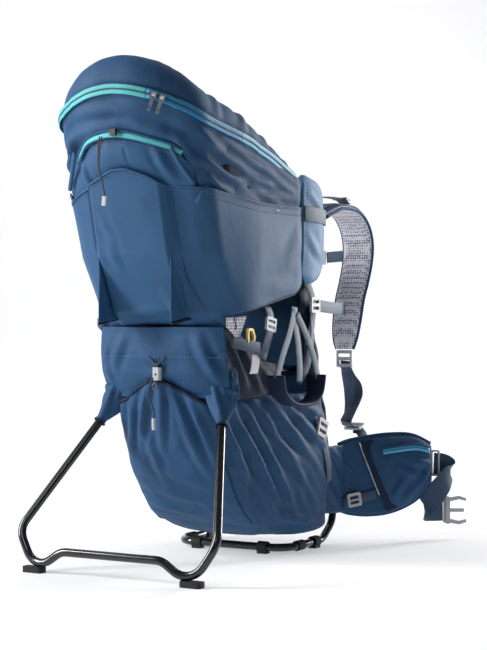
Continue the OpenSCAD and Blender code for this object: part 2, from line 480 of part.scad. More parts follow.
module sternum_buckle() color(plastic_grey) place() {
    translate([0, sternum_y + 14, 498]) rotate([90, 0, 0]) linear_extrude(8, center = true) polygon(round_poly([[-24, -13], [24, -13], [24, 13], [-24, 13]], 5, 3));
    both() translate([100, sternum_y + 3, 500]) rotate([90, 0, 0]) linear_extrude(4, center = true) polygon(round_poly([[-14, -13], [14, -13], [14, 13], [-14, 13]], 4, 3));
}
wing_root = [112, 176];
wing_pts = [[wing_root[0], wing_root[1], 0], [122, 196, 0], [146, 222, 0], [176, 250, 0], [206, 276, 0], [232, 298, 0]];
wing_low = [58, 50, 46, 50, 66, 94];
wing_top = [168, 174, 180, 184, 182, 166];
module hip_wing() {
    m = len(wing_pts);
    rings = [for (i = [0:m - 1]) let (p = wing_pts[i], t = unit(wing_pts[min(i + 1, m - 1)] - wing_pts[max(i - 1, 0)]),
        s = cross(t, [0, 0, 1]), k = i == 0 || i == m - 1 ? 0.5 : 1, lo = wing_low[i], hi = wing_top[i])
        [for (q = rect(wing_t * k, hi - lo, 6)) [p[0] + s[0] * q[0], p[1] + s[1] * q[0], (lo + hi) / 2 + q[1]]]];
    loft(rings);
}
module hip_pocket() {
    idx = [1, 2, 3, 4];
    bulk = [6, 26, 30, 8];
    a = [for (i = [0:3]) let (k = idx[i], p = wing_pts[k], t = unit(wing_pts[k + 1] - wing_pts[k - 1]), s = cross(t, [0, 0, 1]),
        o = p + s * (wing_t / 2 + gap), lo = wing_low[k] + 14, hi = wing_top[k] - 12)
        [for (z = [0, 0.15, 0.5, 0.85, 1]) o + s * (2 + bulk[i] * sin(180 * z)) + [0, 0, mix(lo, hi, z)]]];
    b = [for (i = [0:3]) let (k = idx[i], p = wing_pts[k], t = unit(wing_pts[k + 1] - wing_pts[k - 1]), s = cross(t, [0, 0, 1]),
        o = p + s * (wing_t / 2 + gap), lo = wing_low[k] + 14, hi = wing_top[k] - 12)
        [for (z = [0, 0.15, 0.5, 0.85, 1]) o + [0, 0, mix(lo, hi, z)]]];
    wall(a, b);
}
module right_hip_wing() color(navy) place() hip_wing();
module left_hip_wing() color(navy) place() mirror([1, 0, 0]) hip_wing();
module right_hip_pocket() color(navy) place() hip_pocket();
module left_hip_pocket() color(navy) place() mirror([1, 0, 0]) hip_pocket();
tip = [250, 316, 50];           // the axle of a hip buckle
tip_dir = unit([0.865, 0.5, 0]);
web_run = [[236, 302, 132], [247, 316, 130], [259, 318, 120], [256.5, 302, 102], [246, 289, 82],
           [234, 284, 64], [226, 288, 52], [231.5, 302, 50], tip - 2.8 * tip_dir];
// a webbing's face stays upright round its turns
function upright(p) = [for (i = [0:len(p) - 1]) unit(cross([0, 0, 1], p[min(i + 1, len(p) - 1)] - p[max(i - 1, 0)]))];
module hip_webbing() band(spline(web_run, 3), upright(spline(web_run, 3)), hip_web_w, web_t);
module right_hip_webbing() color(navy) place() hip_webbing();
module left_hip_webbing() color(navy) place() mirror([1, 0, 0]) hip_webbing();
module buckle_bar() rod(tip - [0, 0, hip_web_w / 2 + 3], tip + [0, 0, hip_web_w / 2 + 3], 2);
module on_tip() { stand_on(tip, frame_of(cross([0, 0, 1], tip_dir), [0, 0, 1])) children(); }
module right_hip_buckle() color(plastic_grey) place() {
    buckle_bar();
    on_tip() linear_extrude(7, center = true) {
        polygon(round_poly([[-24, 2], [24, 2], [24, 10], [-24, 10]], 3, 2));
        for (s = [-1, 1]) scale([s, 1]) polygon([[15, 8], [22, 8], [25, 26], [21, 38], [16, 38], [19, 26]]);
        polygon([[-3, 8], [3, 8], [3, 34], [-3, 34]]);
    }
}
module left_hip_buckle() color(plastic_grey) place() mirror([1, 0, 0]) {
    buckle_bar();
    on_tip() difference() {
        linear_extrude(13, center = true) polygon(round_poly([[-24, 2], [24, 2], [30, 22], [26, 36], [-26, 36], [-30, 22]], 4, 3));
        translate([0, 26, 0]) cube([42, 36, 8], center = true);
    }
}

main_frame();
top_crossbar();
seat_frame();
hinge_brackets();
hinge_pins();
base_feet();
base_straps();
kickstand();
kickstand_feet();
kickstand_sleeves();
lower_bag();
rear_flap();
cockpit();
collar();
side_cheeks();
rear_pocket();
upper_pocket();
rim_zip();
pocket_zip();
inner_zip_slider();
inner_zip_pull();
outer_zip_slider();
outer_zip_pull();
pocket_slider();
pull_cord();
pull_tip();
cord_lock_body();
cord_lock_button();
drawcord();
seat_pad();
child_backrest();
chin_pad();
head_wings();
harness_straps();
harness_buckle();
harness_button();
right_stirrup();
left_stirrup();
side_buckles();
side_rings();
back_plate();
back_pads();
lumbar_pad();
yoke();
shoulder_straps();
load_lifters();
side_straps();
strap_webbing();
strap_locks();
sternum_strap();
sternum_buckle();
right_hip_wing();
left_hip_wing();
right_hip_pocket();
left_hip_pocket();
right_hip_webbing();
left_hip_webbing();
right_hip_buckle();
left_hip_buckle();
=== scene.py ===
"""Child carrier backpack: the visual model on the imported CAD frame."""

import math

import bmesh
import bpy
import numpy as np
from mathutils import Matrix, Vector, noise


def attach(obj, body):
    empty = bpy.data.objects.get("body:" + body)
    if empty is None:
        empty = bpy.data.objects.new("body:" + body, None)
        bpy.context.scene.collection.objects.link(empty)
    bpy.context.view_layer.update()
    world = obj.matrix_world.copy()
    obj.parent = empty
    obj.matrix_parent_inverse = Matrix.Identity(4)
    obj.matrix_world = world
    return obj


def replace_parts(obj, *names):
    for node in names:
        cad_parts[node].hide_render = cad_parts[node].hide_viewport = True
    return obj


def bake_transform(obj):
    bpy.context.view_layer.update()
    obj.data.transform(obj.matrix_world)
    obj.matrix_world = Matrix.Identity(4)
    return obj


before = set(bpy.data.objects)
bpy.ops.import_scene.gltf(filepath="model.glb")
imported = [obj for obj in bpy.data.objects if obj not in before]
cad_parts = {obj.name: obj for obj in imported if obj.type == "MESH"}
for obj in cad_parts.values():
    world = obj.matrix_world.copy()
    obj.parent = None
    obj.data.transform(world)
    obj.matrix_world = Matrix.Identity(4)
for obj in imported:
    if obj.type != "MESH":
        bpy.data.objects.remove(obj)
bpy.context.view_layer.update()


Y_SHIFT = 8.2  # from the frame's own zero, at the base loop, to the row's


def P(x, y, z):
    """Millimetres from the base loop's rear bar to metres in the row frame."""
    return (x / 1000, (y + Y_SHIFT) / 1000, z / 1000)


def PA(points):
    """The same for an array of points."""
    return (np.asarray(points, float) + np.array([0, Y_SHIFT, 0])) / 1000

# ---------------------------------------------------------------- camera and light
scene = bpy.context.scene
cam = bpy.data.cameras.new("camera")
cam.lens = 87.06
cam.sensor_width = 36
camera = bpy.data.objects.new("camera", cam)
camera.location = P(1330, -2250.5, 375)
camera.rotation_euler = (math.radians(90), 0, math.radians(30.1))
scene.collection.objects.link(camera)
scene.camera = camera
scene.view_settings.view_transform = "Standard"

world = bpy.data.worlds.new("studio")
scene.world = world
world.use_nodes = True
world.node_tree.nodes["Background"].inputs[0].default_value = (0.925, 0.928, 0.935, 1)
world.node_tree.nodes["Background"].inputs[1].default_value = 0.12


def area_light(name, loc, target, size, power, color=(1, 1, 1)):
    data = bpy.data.lights.new(name, "AREA")
    data.shape = "RECTANGLE"
    data.size, data.size_y = size
    data.energy = power
    data.color = color
    o = bpy.data.objects.new(name, data)
    o.location = loc
    o.rotation_euler = (Vector(target) - Vector(loc)).to_track_quat("-Z", "Y").to_euler()
    scene.collection.objects.link(o)
    return o


area_light("key", (-1.9, -1.6, 1.3), (0, 0, 0.4), (0.5, 1.6), 92)
area_light("rim", (1.0, 2.4, 1.0), (0.05, 0, 0.45), (0.5, 1.8), 60)
area_light("front", (0.6, -2.5, 2.2), (0, 0, 0.4), (0.5, 0.5), 7)
area_light("top", (0.1, 0.6, 2.6), (0, 0, 0.4), (0.8, 0.8), 10)

# ---------------------------------------------------------------- materials


def lin(c):
    """sRGB 0 to 255 to linear."""
    return tuple(((v / 255) / 12.92 if v <= 10 else (((v / 255) + 0.055) / 1.055) ** 2.4) for v in c) + (1.0,)


def base_material(name, color, rough, metal=0.0):
    m = bpy.data.materials.new(name)
    m.use_nodes = True
    b = m.node_tree.nodes["Principled BSDF"]
    b.inputs["Base Color"].default_value = color
    b.inputs["Roughness"].default_value = rough
    b.inputs["Metallic"].default_value = metal
    return m, m.node_tree, b


def add_node(nt, kind, vector=None, **values):
    """A shader node with those input values, fed by a vector socket if given."""
    node = nt.nodes.new("ShaderNode" + kind)
    for key, value in values.items():
        node.inputs[key.replace("_", " ")].default_value = value
    if vector is not None:
        nt.links.new(vector, node.inputs["Vector"])
    return node


def vary(nt, b, color, scale, amount, rough, rough_var):
    """Uneven colour and roughness from noise in object space."""
    tc = add_node(nt, "TexCoord")
    n = add_node(nt, "TexNoise", tc.outputs["Object"], Scale=scale, Detail=5)
    ramp = add_node(nt, "MapRange", From_Min=0.3, From_Max=0.7)
    nt.links.new(n.outputs["Fac"], ramp.inputs["Value"])
    mix = nt.nodes.new("ShaderNodeMix")
    mix.data_type = "RGBA"
    mix.inputs[6].default_value = tuple(c * (1 - amount) for c in color[:3]) + (1,)
    mix.inputs[7].default_value = tuple(min(1, c * (1 + amount)) for c in color[:3]) + (1,)
    nt.links.new(ramp.outputs["Result"], mix.inputs[0])
    nt.links.new(mix.outputs[2], b.inputs["Base Color"])
    rr = add_node(nt, "MapRange", To_Min=rough - rough_var, To_Max=rough + rough_var)
    nt.links.new(n.outputs["Fac"], rr.inputs["Value"])
    nt.links.new(rr.outputs["Result"], b.inputs["Roughness"])
    return tc


def bump_from(nt, b, height, strength, distance, after=None):
    """Bump from a height socket, on top of another bump if given."""
    bp = nt.nodes.new("ShaderNodeBump")
    bp.inputs["Strength"].default_value = strength
    bp.inputs["Distance"].default_value = distance
    nt.links.new(height, bp.inputs["Height"])
    if after is not None:
        nt.links.new(after.outputs["Normal"], bp.inputs["Normal"])
    nt.links.new(bp.outputs["Normal"], b.inputs["Normal"])
    return bp


def fabric(name, rgb, rough=0.62, thread=1.1, weave=0.35, crinkle=0.25, crinkle_scale=45, amount=0.07, sheen=0.1):
    """Woven cloth: threads both ways, a fine crinkle, sheen and uneven colour."""
    color = lin(rgb)
    m, nt, b = base_material(name, color, rough)
    tc = vary(nt, b, color, 14, amount, rough, 0.06)
    b.inputs["Specular IOR Level"].default_value = 0.2
    b.inputs["Sheen Weight"].default_value = sheen
    b.inputs["Sheen Roughness"].default_value = 0.45
    b.inputs["Sheen Tint"].default_value = tuple(min(1, 2.2 * c + 0.08) for c in color[:3]) + (1,)
    waves = []
    for axis in ("X", "Z"):
        w = add_node(nt, "TexWave", tc.outputs["Object"], Scale=314 / thread, Distortion=0.6)
        w.wave_type = "BANDS"
        w.bands_direction = axis
        waves.append(w)
    add = nt.nodes.new("ShaderNodeMath")
    add.operation = "MAXIMUM"
    nt.links.new(waves[0].outputs["Fac"], add.inputs[0])
    nt.links.new(waves[1].outputs["Fac"], add.inputs[1])
    first = bump_from(nt, b, add.outputs[0], weave, 0.00018)
    n = add_node(nt, "TexNoise", tc.outputs["Object"], Scale=crinkle_scale, Detail=6, Distortion=0.8)
    bump_from(nt, b, n.outputs["Fac"], crinkle, 0.004, first)
    return m


def webbing_mat(name, rgb):
    """Ribbed webbing."""
    color = lin(rgb)
    m, nt, b = base_material(name, color, 0.6)
    tc = vary(nt, b, color, 60, 0.10, 0.58, 0.06)
    b.inputs["Sheen Weight"].default_value = 0.2
    v = add_node(nt, "TexVoronoi", tc.outputs["Object"], Scale=620)
    bump_from(nt, b, v.outputs["Distance"], 0.5, 0.0006)
    return m


def mesh_mat(name, rgb, hole, scale=225):
    """Spacer mesh: a pale knit with small dark holes."""
    color = lin(rgb)
    m, nt, b = base_material(name, color, 0.8)
    tc = add_node(nt, "TexCoord")
    v = add_node(nt, "TexVoronoi", tc.outputs["Object"], Scale=scale, Randomness=0.25)
    r = add_node(nt, "MapRange", From_Min=0.26, From_Max=0.5)
    nt.links.new(v.outputs["Distance"], r.inputs["Value"])
    mix = nt.nodes.new("ShaderNodeMix")
    mix.data_type = "RGBA"
    mix.inputs[6].default_value = lin(hole)
    mix.inputs[7].default_value = color
    nt.links.new(r.outputs["Result"], mix.inputs[0])
    nt.links.new(mix.outputs[2], b.inputs["Base Color"])
    b.inputs["Sheen Weight"].default_value = 0.3
    bump_from(nt, b, r.outputs["Result"], 0.8, 0.0012)
    return m


def plastic(name, rgb, rough=0.38):
    color = lin(rgb)
    m, nt, b = base_material(name, color, rough)
    tc = vary(nt, b, color, 90, 0.04, rough, 0.05)
    n = add_node(nt, "TexNoise", tc.outputs["Object"], Scale=1400)
    bump_from(nt, b, n.outputs["Fac"], 0.25, 0.0002)
    return m


def metal(name, rgb, rough):
    color = lin(rgb)
    m, nt, b = base_material(name, color, rough, 1.0)
    vary(nt, b, color, 120, 0.05, rough, 0.06)
    return m


def tube_mat(name):
    color = lin((24, 26, 31))
    m, nt, b = base_material(name, color, 0.22, 0.35)
    tc = vary(nt, b, color, 30, 0.15, 0.24, 0.06)
    b.inputs["Coat Weight"].default_value = 0.6
    b.inputs["Coat Roughness"].default_value = 0.08
    n = add_node(nt, "TexNoise", tc.outputs["Object"], Scale=900)
    bump_from(nt, b, n.outputs["Fac"], 0.08, 0.0002)
    return m


M = {
    "navy": fabric("navy_cloth", (38, 74, 110)),
    "panel": fabric("panel_cloth", (42, 80, 117), rough=0.55, crinkle=0.12),
    "dark": fabric("dark_cloth", (18, 34, 57), crinkle=0.3),
    # painted shade: near-black cloth for the shade inside the stretch pocket's mouth
    "pocket_mouth_shade": fabric("pocket_mouth_shade_cloth", (22, 28, 40), crinkle=0.3),
    "light": fabric("light_cloth", (82, 124, 162), rough=0.5, crinkle=0.15),
    "lining": fabric("lining_cloth", (30, 42, 62), rough=0.8, thread=1.6),
    "teal": fabric("teal_tape", (84, 178, 182), rough=0.45, thread=0.8, crinkle=0.05, amount=0.04),
    "blue": fabric("blue_tape", (44, 126, 172), rough=0.4, thread=0.8, crinkle=0.05, amount=0.05),
    "cyan": fabric("cyan_tape", (96, 178, 214), rough=0.4, thread=0.8, crinkle=0.05, amount=0.05),
    "web": webbing_mat("webbing_cloth", (38, 66, 94)),
    "web_dark": webbing_mat("webbing_dark", (26, 40, 60)),
    "mesh": mesh_mat("spacer_mesh", (226, 224, 234), (96, 98, 116)),
    "grey": plastic("plastic_grey_m", (176, 178, 182)),
    "grey_dark": plastic("plastic_dark_grey", (70, 74, 82)),
    "black_p": plastic("plastic_black_m", (22, 23, 27)),
    "yellow": plastic("plastic_yellow_m", (230, 196, 52)),
    "red": plastic("plastic_red_m", (170, 30, 28), 0.25),
    "clear": plastic("plastic_pale", (205, 208, 214), 0.3),
    "steel": metal("steel_m", (200, 202, 205), 0.28),
    "tube": tube_mat("tube_m"),
    "rubber": plastic("rubber_m", (20, 20, 22), 0.75),
    "thread": fabric("thread", (92, 120, 148), thread=0.4, crinkle=0),
    "thread_dark": fabric("thread_dark", (24, 38, 58), thread=0.4, crinkle=0),
    "piping": fabric("pale_piping", (196, 208, 222), thread=0.6, crinkle=0),
    "label": fabric("white_label", (228, 230, 232), thread=0.7, crinkle=0.05),
    "cord": webbing_mat("cord_m", (30, 46, 66)),
    "ground": plastic("studio_floor", (205, 205, 207), 0.9),
}
glow = M["ground"].node_tree.nodes["Principled BSDF"]  # the studio's pale sweep, evenly lit
glow.inputs["Emission Color"].default_value = (1, 1, 1, 1)
glow.inputs["Emission Strength"].default_value = 0.40

# ---------------------------------------------------------------- geometry


def catmull(pts, n):
    """A smooth line through the points, n steps a span."""
    p = np.asarray(pts, float)
    m = len(p)
    out = []
    for i in range(m - 1):
        a, b, c, d = p[max(i - 1, 0)], p[i], p[i + 1], p[min(i + 2, m - 1)]
        for t in np.arange(n) / n:
            out.append(0.5 * ((2 * b) + (c - a) * t + (2 * a - 5 * b + 4 * c - d) * t * t + (3 * b - a - 3 * c + d) * t ** 3))
    out.append(p[-1])
    return np.array(out)


def resample(path, step):
    """The same path with points that far apart."""
    p = np.asarray(path, float)
    d = np.r_[0, np.cumsum(np.linalg.norm(np.diff(p, axis=0), axis=1))]
    n = max(2, int(round(d[-1] / step)) + 1)
    t = np.linspace(0, d[-1], n)
    return np.stack([np.interp(t, d, p[:, k]) for k in range(p.shape[1])], 1)


def unit(v):
    """Vectors at length one."""
    v = np.asarray(v, float)
    n = np.linalg.norm(v, axis=-1, keepdims=True)
    return v / np.where(n == 0, 1, n)


def make(name, verts, faces, mat, body="pack", slot=None, smooth=True, mm=True):
    me = bpy.data.meshes.new(name)
    v = PA(verts) if mm else np.asarray(verts, float)
    me.from_pydata([tuple(q) for q in v], [], [tuple(int(i) for i in f) for f in faces])
    me.update()
    me.materials.append(M[mat])
    if smooth:
        me.polygons.foreach_set("use_smooth", [True] * len(me.polygons))
    o = bpy.data.objects.new(name, me)
    scene.collection.objects.link(o)
    if body:
        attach(o, body)
    return o


def surface(fn, us, ts):
    """A grid of the points fn(u, t), a row for each t."""
    return np.array([[fn(u, t) for u in us] for t in ts])


def grid_faces(m, n, wrap=False, flip=False):
    """Quads of a grid of points, m by n."""
    f = []
    for i in range(m - 1):
        for j in range(n if wrap else n - 1):
            a, b = i * n + j, i * n + (j + 1) % n
            q = (a, b, b + n, a + n)
            f.append(q[::-1] if flip else q)
    return f


def tube_faces(m, c):
    """The faces of m closed rings of c points, with both ends shut."""
    return grid_faces(m, c, True) + [tuple(range(c))[::-1], tuple((m - 1) * c + i for i in range(c))]


def grid_normals(g, wrap=False):
    """Unit normals of a grid of points, m by n by 3."""
    if wrap:
        du = np.roll(g, -1, 1) - np.roll(g, 1, 1)
    else:
        du = np.gradient(g, axis=1)
    dv = np.gradient(g, axis=0)
    return unit(np.cross(du, dv))


def facing(g, i, j, way):
    """A grid's normals, turned to agree with a direction at one point, and the turn as 1 or -1."""
    n = grid_normals(g)
    k = 1 if n[i, j] @ np.asarray(way, float) > 0 else -1
    return n * k, k


def shell_solid(name, g, mat, thick, wrap=False, out=1, **kw):
    """A wall of that thickness behind a grid of outer points."""
    m, n = g.shape[:2]
    nrm = grid_normals(g, wrap) * out
    inner = g - nrm * thick
    k = m * n
    faces = grid_faces(m, n, wrap) + [tuple(k + i for i in f[::-1]) for f in grid_faces(m, n, wrap)]
    last = n if wrap else n - 1
    for j in range(last):
        q = (j + 1) % n
        faces.append((j, k + j, k + q, q))
        a, b = (m - 1) * n + j, (m - 1) * n + q
        faces.append((a, b, k + b, k + a))
    if not wrap:
        for i in range(m - 1):
            a, b = i * n, (i + 1) * n
            faces.append((a, b, k + b, k + a))
            a, b = i * n + n - 1, (i + 1) * n + n - 1
            faces.append((a, k + a, k + b, b))
    return make(name, np.concatenate([g.reshape(-1, 3), inner.reshape(-1, 3)]), faces, mat, **kw)


def seg_dist(p, line):
    """Distance of each point to a polyline, and how far along it the nearest spot is, 0 to 1."""
    line = np.asarray(line, float)
    best = np.full(len(p), 1e9)
    where = np.zeros(len(p))
    n = len(line) - 1
    for i in range(n):
        a, b = line[i], line[i + 1]
        d = b - a
        t = np.clip(((p - a) @ d) / max(d @ d, 1e-9), 0, 1)
        q = np.linalg.norm(p - (a + t[:, None] * d), axis=1)
        hit = q < best
        best = np.where(hit, q, best)
        where = np.where(hit, (i + t) / n, where)
    return best, where


def press(g, nrm, line, width, depth, ends=False):
    """Pushes a grid in (depth below 0) or out along a line, with a soft edge."""
    p = g.reshape(-1, 3)
    d, t = seg_dist(p, line)
    k = np.exp(-(d / width) ** 2)
    if ends:
        k = k * np.sin(np.pi * np.clip(t * 0.9 + 0.05, 0, 1)) ** 0.7
    return (p + nrm.reshape(-1, 3) * (k * depth)[:, None]).reshape(g.shape)


def fold(g, nrm, line, width, height, gain=1.5):
    """A fold: a ridge with a hollow beside it, fading at both ends."""
    p = g.reshape(-1, 3)
    d, t = seg_dist(p, line)
    s = d / width
    k = (np.exp(-(s ** 2)) - 0.55 * np.exp(-((s - 1.7) / 0.8) ** 2)) * np.sin(np.pi * np.clip(t * 0.92 + 0.04, 0,
        1)) ** 0.8
    return (p + nrm.reshape(-1, 3) * (k * height * gain)[:, None]).reshape(g.shape)


def rumple(g, nrm, size, height, stretch=(1, 1, 1), seed=0.0, ridged=True):
    """Pushes a grid in and out by noise: ridged for creases, else smooth."""
    p = g.reshape(-1, 3)
    s = np.array(stretch) / size
    out = np.empty(len(p))
    for i, q in enumerate(p * s + seed):
        v = noise.noise(Vector(q))
        out[i] = (0.5 - abs(v)) * 2 if ridged else v
    return (p + nrm.reshape(-1, 3) * (out * height)[:, None]).reshape(g.shape)


def path_frames(path, up):
    """Tangent, side and normal along a path; up is one vector or one a point."""
    t = unit(np.gradient(path, axis=0))
    u = np.broadcast_to(np.asarray(up, float), path.shape)
    s = unit(np.cross(t, u))
    return t, s, unit(np.cross(s, t))


def sweep(name, path, up, prof, mat, scale=None, caps=True, **kw):
    """A section carried along a path, with the path's own up and scale."""
    path = np.asarray(path, float)
    t, s, n = path_frames(path, up)
    prof = np.asarray(prof, float)
    k = np.ones(len(path)) if scale is None else np.asarray(scale, float)
    g = path[:, None] + (s[:, None] * prof[None, :, :1] + n[:, None] * prof[None, :, 1:]) * k[:, None, None]
    m, c = g.shape[:2]
    faces = tube_faces(m, c) if caps else grid_faces(m, c, True)
    return make(name, g.reshape(-1, 3), faces, mat, **kw)


def circle(r, n=12):
    """A round section."""
    a = np.arange(n) * 2 * np.pi / n
    return np.stack([r * np.cos(a), r * np.sin(a)], 1)


def flat(w, t, n=3):
    """A rounded flat section, w by t."""
    r = t * 0.5
    out = []
    for cx, cy, a0 in ((w / 2 - r, 0, -90), (-w / 2 + r, 0, 90)):
        for i in range(n + 1):
            a = math.radians(a0 + 180 * i / n)
            out.append((cx + r * math.cos(a), cy + r * math.sin(a)))
    return np.array(out)


def round_rect(w, h, r, n=4):
    """A rectangle with rounded corners."""
    out = []
    for cx, cy, a0 in ((w / 2 - r, -h / 2 + r, -90), (w / 2 - r, h / 2 - r, 0), (-w / 2 + r, h / 2 - r, 90),
            (-w / 2 + r, -h / 2 + r, 180)):
        for i in range(n + 1):
            a = math.radians(a0 + 90 * i / n)
            out.append((cx + r * math.cos(a), cy + r * math.sin(a)))
    return np.array(out)


def tube(name, pts, r, mat, up=(0.13, 0.2, 0.97), n=12, k=8, step=None, **kw):
    """A round tube along a smooth line through the points."""
    path = catmull(pts, k)
    if step:
        path = resample(path, step)
    return sweep(name, path, up, circle(r, n), mat, **kw)


def strap(name, pts, up, w, t, mat, k=8, **kw):
    """A flat strap along a smooth line, up square to its face."""
    path = resample(catmull(pts, k), 4)
    if np.ndim(up) == 2:
        u = catmull(up, k)
        idx = np.linspace(0, len(u) - 1, len(path))
        up = np.stack([np.interp(idx, np.arange(len(u)), u[:, c]) for c in range(3)], 1)
    return sweep(name, path, up, flat(w, t), mat, **kw)


def webbing(name, pts, up, w, **kw):
    """A strap of flat webbing, w wide."""
    return strap(name, pts, up, w, 1.8, "web", slot="webbing", **kw)


def stitches(name, path, up, mat="thread", dash=3.2, gap=2.0, w=0.8, lift=0.25, **kw):
    """A row of thread stitches along a path on a surface whose normal is up."""
    path = resample(path, 0.6)
    t, s, n = path_frames(path, up)
    per = int(round((dash + gap) / 0.6))
    on = int(round(dash / 0.6))
    verts, faces = [], []
    for i in range(0, len(path) - on, per):
        a, b = i, i + on
        o = len(verts)
        for q, h in ((a, 0.0), ((a + b) // 2, lift + 0.25), (b, 0.0)):
            c = path[q] + n[q] * h
            verts += [c - s[q] * w / 2, c + n[q] * 0.3, c + s[q] * w / 2, c - n[q] * 0.4]
        for r in range(2):
            for j in range(4):
                faces.append((o + r * 4 + j, o + r * 4 + (j + 1) % 4, o + r * 4 + 4 + (j + 1) % 4, o + r * 4 + 4 + j))
    if not verts:
        return None
    return make(name, verts, faces, mat, **kw)


def subdivide(o, n=1):
    """Adds subdivision surface levels to a piece."""
    s = o.modifiers.new("sub", "SUBSURF")
    s.levels = s.render_levels = n
    return o


def basis(origin, x, y):
    """4x4 in millimetres with that origin, x axis, and y axis made square to it."""
    x = unit(x)
    z = unit(np.cross(x, y))
    y = np.cross(z, x)
    m = np.eye(4)
    m[:3, 0], m[:3, 1], m[:3, 2], m[:3, 3] = x, y, z, origin
    return m


def at(m, pts):
    """Points in the axes of m, in millimetres."""
    p = np.asarray(pts, float)
    return p @ m[:3, :3].T + m[:3, 3]


def prism(name, outline, z0, z1, m, mat, holes=(), bev=0.6, **kw):
    """A flat outline with holes, raised from z0 to z1 in the axes of m, with softened edges."""
    cu = bpy.data.curves.new(name, "CURVE")
    cu.dimensions = "2D"
    cu.fill_mode = "BOTH"
    cu.extrude = (z1 - z0) / 2000 - bev / 1000
    cu.bevel_depth = bev / 1000
    cu.bevel_resolution = 2
    cu.offset = -bev / 1000
    for loop in [outline] + list(holes):
        sp = cu.splines.new("POLY")
        sp.points.add(len(loop) - 1)
        for q, pt in zip(loop, sp.points):
            pt.co = (q[0] / 1000, q[1] / 1000, 0, 1)
        sp.use_cyclic_u = True
    tmp = bpy.data.objects.new(name + "_c", cu)
    scene.collection.objects.link(tmp)
    bpy.context.view_layer.update()
    me = bpy.data.meshes.new_from_object(tmp.evaluated_get(bpy.context.evaluated_depsgraph_get()))
    bpy.data.objects.remove(tmp)
    bpy.data.curves.remove(cu)
    co = np.array([v.co for v in me.vertices]) * 1000 + [0, 0, (z0 + z1) / 2]
    faces = [tuple(p.vertices) for p in me.polygons]
    bpy.data.meshes.remove(me)
    return make(name, at(m, co), faces, mat, smooth=False, **kw)


def ladder(name, m, w, h, t, mat="grey", bars=3, web=20, body="pack", slot="plastic_grey"):
    """A ladder lock: a frame with cross bars, the middle one raised."""
    out = round_rect(w, h, 4, 4)
    gaps = bars - 1
    hh = (h - 8) / gaps
    holes = []
    for i in range(gaps):
        y0 = -h / 2 + 4 + i * hh + 1.2
        y1 = y0 + hh - 2.4
        holes.append(round_rect(web + 2, y1 - y0, 1.2, 2) + [0, (y0 + y1) / 2])
    a = prism(name, out, -t / 2, t / 2, m, mat, holes, 0.7, body=body, slot=slot)
    bar = at(m, [(-w / 2 + 2.5, 0, t * 0.35), (w / 2 - 2.5, 0, t * 0.35)])
    sweep(name + "_bar", resample(bar, 4), m[:3, 2], circle(1.7, 10), mat, body=body, slot=slot)
    return a

# ---------------------------------------------------------------- the cockpit's own surface
REAR = ((330, -188), (370, -196), (412, -217), (480, -254), (590, -288), (690, -312), (760, -322))
BULGE = ((330, 4), (412, 6), (590, 12), (690, 34), (760, 36))
CORNER_X = ((370, 110), (480, 118), (590, 124), (690, 126))


def table(t, rows):
    """A value read off a short table of (t, value) by straight lines."""
    a = np.array(rows, float)
    return np.interp(t, a[:, 0], a[:, 1])


LEAN, LEAN_TOP = 0.268, 445  # the stay's lean, and the height where it straightens


def stay_y(z):
    """The middle of the stay's tube at a height."""
    return 174 - LEAN * (np.minimum(z, LEAN_TOP) - 42) + np.maximum(0, z - LEAN_TOP) * 0.07


def rounded(c, r, arc, seg):
    """A closed outline with its corners rounded, arc points a corner and seg points a side."""
    out = []
    for i in range(len(c)):
        before, here, after = c[i - 1], c[i], c[(i + 1) % len(c)]
        r0 = min(r, np.linalg.norm(before - here) / 2.05)
        r1 = min(r, np.linalg.norm(after - here) / 2.05)
        first, last = here + unit(before - here) * r0, here + unit(after - here) * r1
        for t in np.arange(arc) / arc:
            out.append((1 - t) ** 2 * first + 2 * t * (1 - t) * here + t * t * last)
        end = after + unit(here - after) * r1
        for t in np.arange(seg) / seg:
            out.append(last + (end - last) * t)
    return np.array(out)


def plan(z, e=0.0, seg=10, arc=10, r=30):
    """The cockpit's outline at a height, e inside its outer face, as a closed line."""
    x1, yr = table(z, CORNER_X) - e, table(z, REAR) + e
    yb, x2, yf = yr - table(z, BULGE), 131 - e, stay_y(450) - 14.5 - e
    c = np.array([(-x1, yr), (-48, yb), (48, yb), (x1, yr), (x2, -165), (x2, 8), (93, yf), (-93, yf), (-x2, 8),
        (-x2, -165)])
    return rounded(c, r, arc, seg)


RIM = ((-330, 702), (-285, 691), (-230, 676), (-150, 661), (-50, 632), (20, 596), (60, 592))
LOW = ((-300, 374), (-215, 386), (-140, 402), (-25, 424), (10, 444), (60, 452))


def rim_of(x, y):
    return table(y, RIM) + np.where(y < -250, 34 * (1 - (x / 122) ** 2) * np.clip((-250 - y) / 40, 0, 1), 0)


P600 = plan(600)
N = len(P600)
RIMZ = rim_of(P600[:, 0], P600[:, 1])
RIMZ = np.convolve(np.r_[RIMZ[-4:], RIMZ, RIMZ[:4]], np.ones(9) / 9, "valid")
LOWZ = table(P600[:, 1], LOW)


def shell_grid(ts, e=0.0, lo=None, hi=None):
    """The cockpit wall between its lower and upper edges, a row for each t."""
    lo = LOWZ if lo is None else lo
    hi = RIMZ if hi is None else hi
    zs = np.arange(360, 775, 5.0)
    plans = np.array([plan(z, e) for z in zs])
    rows = []
    for t in ts:
        z = lo + (hi - lo) * t
        k = np.clip((z - zs[0]) / 5, 0, len(zs) - 1.001)
        i = k.astype(int)
        f = (k - i)[:, None]
        xy = plans[i, np.arange(N)] * (1 - f) + plans[i + 1, np.arange(N)] * f
        rows.append(np.c_[xy, z])
    return np.array(rows)


def rear_pt(x, z, out=0.0):
    """A point on the cockpit's rear face."""
    p = plan(z, -out)
    q = p[p[:, 1] < -150]
    o = np.argsort(q[:, 0])
    return np.array([x, np.interp(x, q[o, 0], q[o, 1]), z])


